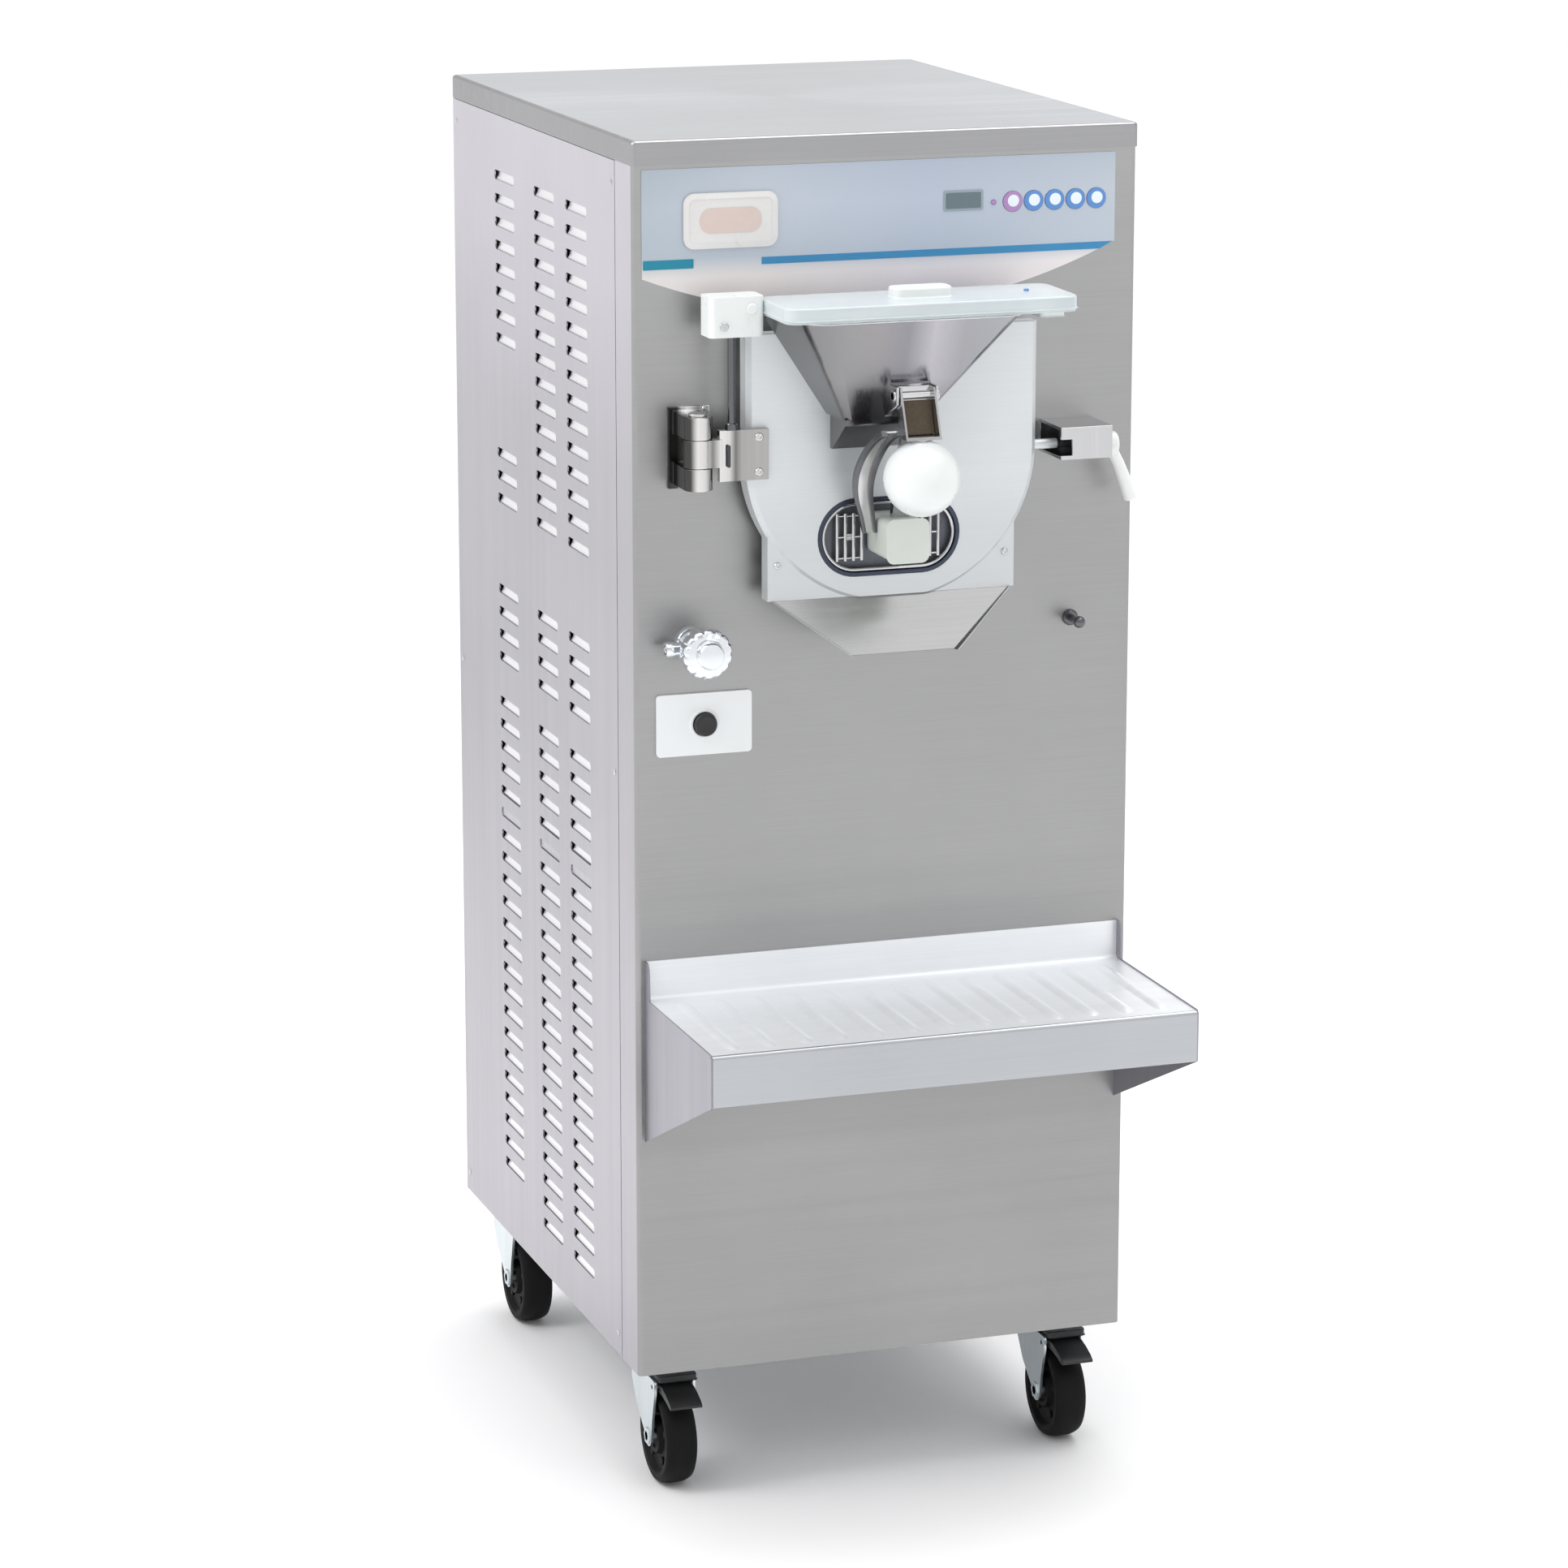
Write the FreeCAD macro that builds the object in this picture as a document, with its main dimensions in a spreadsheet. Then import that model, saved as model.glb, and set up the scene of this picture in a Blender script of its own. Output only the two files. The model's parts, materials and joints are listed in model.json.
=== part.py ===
"""Floor-standing gelato batch freezer, built as an assembly of separate pieces.

Frame: +Z up, the front faces -Y, +X is to the viewer's right. The origin is the centre of the
footprint's bounding box, on the floor. Lengths are in millimetres, angles in degrees.
"""
import FreeCAD
import Part
import Sketcher
import math
import os

doc = FreeCAD.newDocument("batch_freezer")
Vector = FreeCAD.Vector

# ---------------------------------------------------------------- driving dimensions

SIZES = {
    # cabinet
    "cabinet_width": 520, "cabinet_depth": 650, "cabinet_bottom": 135, "cabinet_top": 1378,
    "skin": 1.5, "lid_rim": 24, "lid_overhang": 1, "return_depth": 57, "panel_gap": 1.5,
    "frame_wall": 3, "frame_leg": 28, "tray_height": 40, "deck_height": 628,
    # side vents
    "vent_length": 74, "vent_height": 10, "vent_pitch": 24.4, "vent_top": 1290.6,
    "vent_front": 191, "vent_middle": 305, "vent_rear": 452,
    # rear panel
    "grille_slot_length": 90, "grille_slot_height": 8, "grille_pitch": 20, "grille_bottom": 190,
    "rear_reach": 20, "fitting_radius": 13.2, "fitting_z": 560, "fitting_x": 60,
    "gland_radius": 10, "gland_x": 170,
    # control fascia
    "fascia_left": -251, "fascia_right": 237, "fascia_top": 1350, "fascia_left_z": 1245,
    "fascia_right_z": 1262, "fascia_arc": 620, "film": 1,
    "badge_left": -209, "badge_right": -115, "badge_low": 1273, "badge_high": 1325,
    "badge_corner": 10, "badge_height": 3,
    "key_radius": 10, "key_gap": 0.4, "key_height": 1, "key_z": 1305, "key_x": 129, "key_pitch": 22,
    # freezing barrel, centred on the door
    "door_x": -8, "door_z": 1070, "barrel_radius": 110, "barrel_wall": 5, "barrel_length": 414,
    "barrel_end": 6, "boss_radius": 30, "boss_length": 30, "flange_radius": 132,
    "flange_front": 14, "panel_hole": 118,
    "foam_thickness": 25, "foam_start": 10, "foam_length": 395,
    "shaft_radius": 12.5, "shaft_front": 5, "shaft_end": 505, "running": 0.1,
    "arm_half": 8, "arm_reach": 100, "arm_thick": 10, "bar_depth": 12, "arm_back": 405,
    "blade_half": 5, "blade_depth": 9,
    # drive
    "pulley_start": 470, "pulley_width": 28, "big_pulley": 90, "small_pulley": 30,
    "belt_gap": 0.3, "belt_thick": 8, "belt_width": 20, "motor_z": 790, "motor_radius": 80,
    "motor_start": 200, "motor_end": 440, "motor_shaft": 12, "motor_foot": 60,
    # refrigeration
    "compressor_x": -120, "compressor_y": 370, "compressor_radius": 88, "compressor_low": 165,
    "compressor_high": 370, "compressor_dome": 30,
    "condenser_left": -140, "condenser_right": 200, "condenser_low": 185, "condenser_high": 485,
    "condenser_front": 600, "condenser_back": 640, "shroud_front": 560, "fan_radius": 115,
    "fan_hole": 122, "fan_hub": 32, "fan_x": 30, "fan_z": 335, "fan_start": 568, "fan_width": 20,
    "fan_motor_radius": 36, "fan_motor_start": 490, "fan_motor_end": 560, "fan_stub": 5,
    "strut_half": 5,
    # electrical box behind the fascia
    "box_left": -60, "box_right": 200, "box_front": 20, "box_back": 120, "box_low": 1228, "box_high": 1318,
    # door
    "door_radius": 150, "door_front": 40, "door_back": 15, "door_chamfer": 5,
    "apron_half": 128, "apron_low": 929, "apron_high": 997, "apron_front": 37,
    "shoulder_top": 1192, "crown_top": 1208,
    "plug_radius": 105, "plug_back": 8, "gasket_inner": 118, "gasket_outer": 130,
    "gasket_front": 18, "gasket_back": 14.3,
    "outlet_x": -12, "outlet_z": 988, "outlet_width": 143, "outlet_height": 74, "recess_floor": 30,
    "port_half": 16, "port_low": 976, "port_high": 1000,
    "feed_x": -16, "feed_half": 20, "feed_low": 1087, "feed_high": 1106,
    "stud_radius": 5, "stud_y": 30, "stud_z": 1068, "stud_tip": 166,
    "bar_radius": 2, "bar_front": 36, "bar_pitch": 8.5, "bar_gap": 7, "bar_half_height": 24,
    # hopper
    "hopper_top": 1213, "hopper_low": 1112, "hopper_left": -143, "hopper_right": 117,
    "hopper_front": 126, "hopper_taper": 22, "hopper_corner": 28, "throat_x": -31, "throat_half": 46,
    "throat_front": 84, "throat_taper": 4, "throat_corner": 8, "hopper_wall": 1.5,
    "spout_low": 1078, "spout_wall": 3,
    # hopper lid on its swing rod
    "lid_low": 1213.6, "lid_high": 1229, "lid_left": -147, "lid_right": 150, "lid_front": 132,
    "lid_back": 37, "lid_corner": 14, "lid_knob_x": 3, "lid_knob_half": 30, "lid_knob_top": 1239,
    "lid_knob_front": 96, "lid_knob_back": 70, "end_block_left": 121, "end_block_low": 1205,
    "block_left": -202, "block_low": 1194, "block_high": 1233, "block_front": 62, "block_back": 28,
    "rod_x": -175, "rod_y": 43.7, "rod_radius": 3.5,
    # door hinge
    "hinge_x": -207, "hinge_y": 38, "knuckle_radius": 14, "hinge_pin": 6, "knuckle_low": 1044,
    "knuckle_high": 1116, "knuckle_low_top": 1066, "knuckle_high_bottom": 1094, "hinge_gap": 0.4,
    "hinge_base_left": -226, "hinge_base_right": -184, "hinge_base_low": 1040,
    "hinge_base_high": 1120, "hinge_base_thick": 4, "leaf_left": -188, "leaf_right": -138,
    "leaf_low": 1052, "leaf_high": 1102, "leaf_front": 47, "neck_front": 50,
    # latch
    "latch_left": 160, "latch_right": 214, "latch_front": 60, "latch_low": 1056, "latch_high": 1088,
    "latch_wall": 3, "latch_notch": 172, "latch_notch_half": 8, "latch_axis_y": 38,
    "latch_axis_z": 1066, "latch_bore": 6, "latch_hub": 12, "grip_bottom": 1000, "grip_right": 250,
    "grip_half": 8,
    # extraction lever, ball and gate plug
    "pivot_y": 112, "pivot_z": 1138, "pivot_pin": 4, "lever_half": 18, "lever_sheet": 2,
    "ear_gap": 0.8, "ear_sheet": 2.5, "ball_radius": 37, "ball_y": 132, "ball_z": 1060,
    "stem_radius": 8, "stem_y": 129, "stem_low": 1058, "strut_x_half": 9,
    "gate_half": 20, "gate_low": 972, "gate_high": 1012, "gate_front": 95, "gate_back": 31,
    # drip chute
    "chute_top_half": 124, "chute_low_half": 54, "chute_low": 878, "chute_front": 72,
    "chute_sheet": 1.5,
    # tap, switch and hook
    "tap_x": -203, "tap_z": 885, "tap_radius": 11, "tap_collar": 17, "tap_collar_thick": 6,
    "tap_knob_radius": 25, "tap_knob_back": 38.3, "tap_knob_face": 60, "tap_cap_radius": 14,
    "tap_cap_face": 69, "tap_stem": 5, "nozzle_radius": 7, "nozzle_y": 22, "nozzle_left": -236,
    "plate_left": -239, "plate_right": -141, "plate_low": 773, "plate_high": 835, "plate_thick": 3,
    "plate_corner": 4, "button_radius": 11.5, "button_hole": 12, "button_front": 11,
    "button_back": 8, "hook_x": 195, "hook_z": 885, "hook_base": 8, "hook_radius": 3.5,
    "hook_reach": 26, "hook_tip": 6,
    # shelf
    "shelf_half": 250, "shelf_reach": 213, "shelf_top": 528, "shelf_upstand": 567, "shelf_lip": 52,
    "shelf_sheet": 1.5, "shelf_return": 12, "gusset": 2, "gusset_low": 381, "rib_pitch": 37,
    "rib_radius": 15, "rib_crown": 2.5, "rib_front": 196, "rib_back": 24,
    # casters
    "caster_x": 212, "caster_front": 85, "caster_rear": 610, "caster_trail": 30,
    "wheel_radius": 50, "wheel_half": 17, "axle_radius": 6, "plate_half": 36, "caster_plate": 6,
    "head_radius": 26, "head_low": 121, "disc_radius": 30, "disc_low": 113, "disc_gap": 0.3,
    "kingpin": 6, "cheek_inner": 19, "cheek_outer": 22, "pedal_half": 17, "pedal_start": 33,
    "pedal_end": 92, "pedal_low": 102.5, "pedal_high": 111.5, "pedal_pivot": 44,
    "pedal_axis": 107, "pedal_pin": 3,
}

sheet = doc.addObject("Spreadsheet::Sheet", "Sizes")
for row, (alias, value) in enumerate(SIZES.items(), start=1):
    sheet.set(f"A{row}", alias)
    sheet.set(f"B{row}", str(value))
    sheet.setAlias(f"B{row}", alias)
doc.recompute()


class Size:
    """A length together with the spreadsheet formula that gives it."""

    def __init__(self, number, formula):
        self.number = number
        self.formula = formula

    def __float__(self):
        return float(self.number)

    def __add__(self, other):
        return combine(self, "+", other)

    def __radd__(self, other):
        return combine(other, "+", self)

    def __sub__(self, other):
        return combine(self, "-", other)

    def __rsub__(self, other):
        return combine(other, "-", self)

    def __mul__(self, other):
        return combine(self, "*", other)

    def __rmul__(self, other):
        return combine(other, "*", self)

    def __truediv__(self, other):
        return combine(self, "/", other)

    def __neg__(self):
        return combine(0, "-", self)


OPERATIONS = {
    "+": lambda a, b: a + b,
    "-": lambda a, b: a - b,
    "*": lambda a, b: a * b,
    "/": lambda a, b: a / b,
}


def formula_of(value):
    """The spreadsheet formula of a size, or a plain number as text."""
    return value.formula if isinstance(value, Size) else repr(float(value))


def combine(left, sign, right):
    """Join two sizes with an arithmetic sign."""
    number = OPERATIONS[sign](float(left), float(right))
    return Size(number, f"({formula_of(left)} {sign} {formula_of(right)})")


class Named:
    """Every driving dimension by its alias."""

    def __getattr__(self, alias):
        return Size(SIZES[alias], f"Sizes.{alias}")


d = Named()
half_width = d.cabinet_width / 2
front = (d.shelf_reach - d.cabinet_depth - d.rear_reach) / 2
back = front + d.cabinet_depth
panel_top = d.cabinet_top - d.lid_rim
SIDES = {"left": -1, "right": 1}
nodes = {}


def node(label, obj):
    """Name an object as one separate piece of the machine."""
    obj.Label = label
    nodes[label] = obj
    return obj


def bind(obj, prop, value):
    """Tie a property to a size of the spreadsheet."""
    obj.setExpression(prop, formula_of(value))


# ---------------------------------------------------------------- Part primitives

TURN = {
    "X": FreeCAD.Rotation(Vector(0, 1, 0), 90),
    "Y": FreeCAD.Rotation(Vector(1, 0, 0), -90),
    "Z": FreeCAD.Rotation(),
}


def put(obj, at, axis="Z"):
    """Place an object with its own Z along the axis, at a point."""
    obj.Placement = FreeCAD.Placement(Vector(*[float(value) for value in at]), TURN[axis])
    for letter, value in zip("xyz", at):
        bind(obj, f"Placement.Base.{letter}", value)
    return obj


def block(low, high):
    """A box between two corners."""
    obj = doc.addObject("Part::Box", "Block")
    for prop, small, large in zip(("Length", "Width", "Height"), low, high):
        bind(obj, prop, large - small)
    return put(obj, low)


def rod(radius, start, axis, length):
    """A cylinder from the start point along an axis."""
    obj = doc.addObject("Part::Cylinder", "Rod")
    bind(obj, "Radius", radius)
    bind(obj, "Height", length)
    return put(obj, start, axis)


def cone(radius_start, radius_end, start, axis, length):
    """A cone frustum from the start point along an axis."""
    obj = doc.addObject("Part::Cone", "Cone")
    bind(obj, "Radius1", radius_start)
    bind(obj, "Radius2", radius_end)
    bind(obj, "Height", length)
    return put(obj, start, axis)


def ball(radius, centre):
    """A sphere."""
    obj = doc.addObject("Part::Sphere", "Ball")
    bind(obj, "Radius", radius)
    return put(obj, centre)


def fuse(*pieces):
    """Join overlapping or touching pieces to one."""
    if len(pieces) == 1:
        return pieces[0]
    obj = doc.addObject("Part::MultiFuse", "Fuse")
    obj.Shapes = list(pieces)
    obj.Refine = True
    return obj


def cut(base, *tools):
    """Take one or more tools away from a base."""
    obj = doc.addObject("Part::Cut", "Cut")
    obj.Base = base
    obj.Tool = fuse(*tools)
    obj.Refine = True
    return obj


def common(one, other):
    """What two pieces share."""
    obj = doc.addObject("Part::MultiCommon", "Common")
    obj.Shapes = [one, other]
    obj.Refine = True
    return obj


def tube(outer, inner, start, axis, length):
    """A round tube from the start point along an axis."""
    return cut(rod(outer, start, axis, length), rod(inner, start, axis, length))


def group(*pieces):
    """Identical pieces that stay separate solids in one node."""
    obj = doc.addObject("Part::Compound", "Group")
    obj.Links = list(pieces)
    return obj


# ---------------------------------------------------------------- PartDesign helpers

X_AXIS = -1
Y_AXIS = -2
ORIGIN = (-1, 1)


def pin_point(sketch, geometry, vertex, x, y):
    """Hold a sketch point at x, y from the sketch origin."""
    for kind, value, axis in (("DistanceX", x, Y_AXIS), ("DistanceY", y, X_AXIS)):
        if abs(float(value)) < 1e-9:
            sketch.addConstraint(Sketcher.Constraint("PointOnObject", geometry, vertex, axis))
            continue
        constraint = Sketcher.Constraint(kind, *ORIGIN, geometry, vertex, float(value))
        index = sketch.addConstraint(constraint)
        sketch.setExpression(f"Constraints[{index}]", formula_of(value))


def hold_radius(sketch, geometry, radius):
    """Hold the radius of a circle or arc."""
    index = sketch.addConstraint(Sketcher.Constraint("Radius", geometry, float(radius)))
    sketch.setExpression(f"Constraints[{index}]", formula_of(radius))


def poly(*points):
    """A closed outline of straight lines."""
    def draw(sketch):
        corners = [Vector(float(x), float(y), 0) for x, y in points]
        lines = [sketch.addGeometry(Part.LineSegment(corner, corners[(i + 1) % len(corners)]))
                 for i, corner in enumerate(corners)]
        for i, line in enumerate(lines):
            following = lines[(i + 1) % len(lines)]
            sketch.addConstraint(Sketcher.Constraint("Coincident", line, 2, following, 1))
            pin_point(sketch, line, 1, *points[i])
    return draw


def rect(x_low, y_low, x_high, y_high):
    """A rectangle."""
    return poly((x_low, y_low), (x_high, y_low), (x_high, y_high), (x_low, y_high))


def circle(x, y, radius):
    """A circle."""
    def draw(sketch):
        shape = Part.Circle(Vector(float(x), float(y), 0), Vector(0, 0, 1), float(radius))
        index = sketch.addGeometry(shape)
        pin_point(sketch, index, 3, x, y)
        hold_radius(sketch, index, radius)
    return draw


def belt_loop(one, other):
    """The loop of a band around two circles, each (x, y, radius)."""
    def draw(sketch):
        (x1, y1, r1), (x2, y2, r2) = [[float(value) for value in end] for end in (one, other)]
        along = math.atan2(y2 - y1, x2 - x1)
        spread = math.acos((r1 - r2) / math.hypot(x2 - x1, y2 - y1))
        arcs = []
        for end, start_angle, end_angle in ((one, along + spread, along - spread + 2 * math.pi),
                                            (other, along - spread, along + spread)):
            centre = Vector(float(end[0]), float(end[1]), 0)
            base = Part.Circle(centre, Vector(0, 0, 1), float(end[2]))
            arcs.append(sketch.addGeometry(Part.ArcOfCircle(base, start_angle, end_angle)))
            pin_point(sketch, arcs[-1], 3, end[0], end[1])
            hold_radius(sketch, arcs[-1], end[2])
        far, near = arcs

        def touch(x, y, radius, angle):
            return Vector(x + radius * math.cos(angle), y + radius * math.sin(angle), 0)

        low = sketch.addGeometry(Part.LineSegment(touch(x1, y1, r1, along - spread),
                                                  touch(x2, y2, r2, along - spread)))
        high = sketch.addGeometry(Part.LineSegment(touch(x2, y2, r2, along + spread),
                                                   touch(x1, y1, r1, along + spread)))
        for first, first_end, second, second_end in ((far, 2, low, 1), (low, 2, near, 1),
                                                     (near, 2, high, 1), (high, 2, far, 1)):
            tangent = Sketcher.Constraint("Tangent", first, first_end, second, second_end)
            sketch.addConstraint(tangent)
    return draw


def slot(x, y, length, height):
    """A horizontal slot with round ends."""
    radius = height / 2
    reach = length / 2 - radius
    return belt_loop((x - reach, y, radius), (x + reach, y, radius))


def rounded(x_low, y_low, x_high, y_high, radius):
    """A rectangle with round corners."""
    def draw(sketch):
        corners = ((x_low + radius, y_low + radius, 180), (x_high - radius, y_low + radius, 270),
                   (x_high - radius, y_high - radius, 0), (x_low + radius, y_high - radius, 90))
        arcs = []
        for x, y, angle in corners:
            base = Part.Circle(Vector(float(x), float(y), 0), Vector(0, 0, 1), float(radius))
            turn = math.radians(angle)
            arcs.append(sketch.addGeometry(Part.ArcOfCircle(base, turn, turn + math.pi / 2)))
            pin_point(sketch, arcs[-1], 3, x, y)
            hold_radius(sketch, arcs[-1], radius)
        for i, arc in enumerate(arcs):
            following = arcs[(i + 1) % 4]
            ends = (sketch.Geometry[arc].EndPoint, sketch.Geometry[following].StartPoint)
            line = sketch.addGeometry(Part.LineSegment(*ends))
            sketch.addConstraint(Sketcher.Constraint("Tangent", arc, 2, line, 1))
            sketch.addConstraint(Sketcher.Constraint("Tangent", line, 2, following, 1))
    return draw


def new_body():
    """An empty PartDesign body."""
    return doc.addObject("PartDesign::Body", "Body")


def draw_on(body, plane, offset, *outlines):
    """A sketch on one of the body's own origin planes, moved along the plane's normal."""
    sketch = body.newObject("Sketcher::SketchObject", "Sketch")
    base = next(item for item in body.Origin.OriginFeatures if item.Role == plane)
    sketch.AttachmentSupport = [(base, "")]
    sketch.MapMode = "FlatFace"
    sketch.AttachmentOffset = FreeCAD.Placement(Vector(0, 0, float(offset)), FreeCAD.Rotation())
    bind(sketch, "AttachmentOffset.Base.z", offset)
    for outline in outlines:
        outline(sketch)
    return sketch


def pad(body, sketch, length):
    """Raise a sketch along its normal."""
    feature = body.newObject("PartDesign::Pad", "Pad")
    feature.Profile = sketch
    bind(feature, "Length", length)
    body.Tip = feature
    doc.recompute()
    return feature


def pocket(body, sketch, length):
    """Cut a sketch along its normal, and check that it took material away."""
    before = body.Shape.Volume
    feature = body.newObject("PartDesign::Pocket", "Pocket")
    feature.Profile = sketch
    feature.Reversed = True
    bind(feature, "Length", length)
    body.Tip = feature
    doc.recompute()
    if body.Shape.Volume > before - 1e-3:
        raise RuntimeError("a pocket cuts nothing")
    return feature


def repeat(body, feature, sketch, length, count):
    """Repeat a feature downwards along the sketch's vertical axis."""
    pattern = body.newObject("PartDesign::LinearPattern", "Pattern")
    pattern.Originals = [feature]
    pattern.Direction = (sketch, ["V_Axis"])
    pattern.Reversed = True
    bind(pattern, "Length", length)
    pattern.Occurrences = count
    body.Tip = pattern
    doc.recompute()
    return pattern


def plate_xz(y_low, y_high, *outlines):
    """A plate facing the front: outlines in X and Z, between two Y planes."""
    body = new_body()
    pad(body, draw_on(body, "XZ_Plane", -y_high, *outlines), y_high - y_low)
    return body


def plate_xy(z_low, z_high, *outlines):
    """A level plate: outlines in X and Y, between two Z planes."""
    body = new_body()
    pad(body, draw_on(body, "XY_Plane", z_low, *outlines), z_high - z_low)
    return body


def plate_yz(x_low, x_high, *outlines):
    """An upright plate seen from the side: outlines in Y and Z, between two X planes."""
    body = new_body()
    pad(body, draw_on(body, "YZ_Plane", x_low, *outlines), x_high - x_low)
    return body


def axis_line(sketch):
    """Construction line along Y through the barrel's centre."""
    line = Part.LineSegment(Vector(float(d.door_x), 0, 0), Vector(float(d.door_x), 10, 0))
    index = sketch.addGeometry(line, True)
    pin_point(sketch, index, 1, d.door_x, 0)
    pin_point(sketch, index, 2, d.door_x, 10)


def turned(*profile):
    """A piece turned about the barrel's axis, from its (radius, Y) corners."""
    body = new_body()
    outline = poly(*[(d.door_x + radius, y) for radius, y in profile])
    sketch = draw_on(body, "XY_Plane", d.door_z, axis_line, outline)
    feature = body.newObject("PartDesign::Revolution", "Turning")
    feature.Profile = sketch
    feature.ReferenceAxis = (sketch, ["Axis0"])
    feature.Angle = 360
    body.Tip = feature
    doc.recompute()
    return body


def ahead(distance):
    """Y of a plane this far in front of the cabinet's face."""
    return front - distance


def behind(distance):
    """Y of a plane this far behind the cabinet's face."""
    return front + distance


# ---------------------------------------------------------------- cabinet

def chassis_frame():
    """Base tray, angle posts, top and middle rings and the upper deck, welded together."""
    outer_x = half_width - d.skin
    y_low = front + d.skin
    y_high = back - d.skin
    low = d.cabinet_bottom
    top = panel_top - 4
    shell = cut(block((-outer_x, y_low, low), (outer_x, y_high, top)),
                block((-outer_x + d.frame_wall, y_low + d.frame_wall, low + d.frame_wall),
                      (outer_x - d.frame_wall, y_high - d.frame_wall, top + 1)))
    keep = [block((-outer_x, y_low, low), (outer_x, y_high, low + d.tray_height)),
            block((-outer_x, y_low, top - d.frame_leg), (outer_x, y_high, top)),
            block((-outer_x, y_low, d.deck_height - d.frame_leg), (outer_x, y_high, d.deck_height))]
    for x_low, x_high in ((-outer_x, -outer_x + d.frame_leg), (outer_x - d.frame_leg, outer_x)):
        for post_low, post_high in ((y_low, y_low + d.frame_leg), (y_high - d.frame_leg, y_high)):
            keep.append(block((x_low, post_low, low), (x_high, post_high, top)))
    deck = block((-outer_x + 1, y_low + 1, d.deck_height - d.frame_wall),
                 (outer_x - 1, y_high - 1, d.deck_height))
    return fuse(common(shell, fuse(*keep)), deck)


def front_panel():
    """Front sheet folded back along both sides, with its round and small openings."""
    inner_x = half_width - d.skin
    fold = front + d.return_depth
    body = plate_xy(d.cabinet_bottom, panel_top,
                    poly((-half_width, fold), (-half_width, front), (half_width, front),
                         (half_width, fold), (inner_x, fold), (inner_x, front + d.skin),
                         (-inner_x, front + d.skin), (-inner_x, fold)))
    button_x = (d.plate_left + d.plate_right) / 2
    button_z = (d.plate_low + d.plate_high) / 2
    holes = draw_on(body, "XZ_Plane", -(front + 5), circle(d.door_x, d.door_z, d.panel_hole),
                    circle(d.tap_x, d.tap_z, d.tap_radius + 0.5),
                    circle(button_x, button_z, d.button_hole))
    pocket(body, holes, 10)
    return body


def side_panel(side):
    """Side sheet with three columns of vent slots in groups of rows."""
    x_outer = SIDES[side] * half_width
    x_inner = SIDES[side] * (half_width - d.skin)
    x_low, x_high = (x_outer, x_inner) if side == "left" else (x_inner, x_outer)
    body = plate_yz(x_low, x_high, rect(front + d.return_depth + d.panel_gap, d.cabinet_bottom + 1,
                                        back, panel_top - 1))
    columns = [d.vent_front, d.vent_middle, d.vent_rear]
    groups = ((0, 8, 3), (8, 4, 2), (12, 3, 3), (18, 4, 3), (23, 22, 3), (45, 1, 2))
    for first_row, count, column_count in groups:
        slots = [slot(front + column, d.vent_top - d.vent_pitch * first_row, d.vent_length,
                      d.vent_height) for column in columns[:column_count]]
        sketch = draw_on(body, "YZ_Plane", x_low - 1, *slots)
        feature = pocket(body, sketch, d.skin + 2)
        if count > 1:
            repeat(body, feature, sketch, d.vent_pitch * (count - 1), count)
    return body


def rear_panel():
    """Rear sheet with the air grille in front of the condenser and holes for the fittings."""
    inner_x = half_width - d.skin
    body = plate_xz(back - d.skin, back,
                    rect(-inner_x, d.cabinet_bottom + 1, inner_x, panel_top - 1),
                    circle(-d.fitting_x, d.fitting_z, d.fitting_radius - 2),
                    circle(d.fitting_x, d.fitting_z, d.fitting_radius - 2),
                    circle(d.gland_x, d.fitting_z, d.gland_radius - 3))
    top_row = d.grille_bottom + d.grille_pitch * 13
    columns = [slot(d.fan_x + d.grille_slot_length * 1.1 * i, top_row, d.grille_slot_length,
                    d.grille_slot_height) for i in (-1, 0, 1)]
    sketch = draw_on(body, "XZ_Plane", -(back + 1), *columns)
    feature = pocket(body, sketch, d.skin + 2)
    repeat(body, feature, sketch, d.grille_pitch * 13, 14)
    return body


def top_lid():
    """Folded top pan that sits on the panels' upper edges."""
    out_x = half_width + d.lid_overhang
    pan = block((-out_x, ahead(2), panel_top), (out_x, back + d.lid_overhang, d.cabinet_top))
    hollow = block((-out_x + d.skin, ahead(2) + d.skin, panel_top - 1),
                   (out_x - d.skin, back + d.lid_overhang - d.skin, d.cabinet_top - d.skin))
    ledge_x = half_width - d.frame_leg
    ledge = cut(block((-out_x, ahead(2), panel_top), (out_x, back + d.lid_overhang, panel_top + d.skin)),
                block((-ledge_x, front + d.frame_leg, panel_top - 1),
                      (ledge_x, back - d.frame_leg, panel_top + d.skin + 1)))
    return fuse(cut(pan, hollow), ledge)


node("chassis_frame", chassis_frame())
node("front_panel", front_panel())
node("side_panel_left", side_panel("left"))
node("side_panel_right", side_panel("right"))
node("rear_panel", rear_panel())
node("top_lid", top_lid())

# ---------------------------------------------------------------- controls

KEY_COUNT = 5


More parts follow.
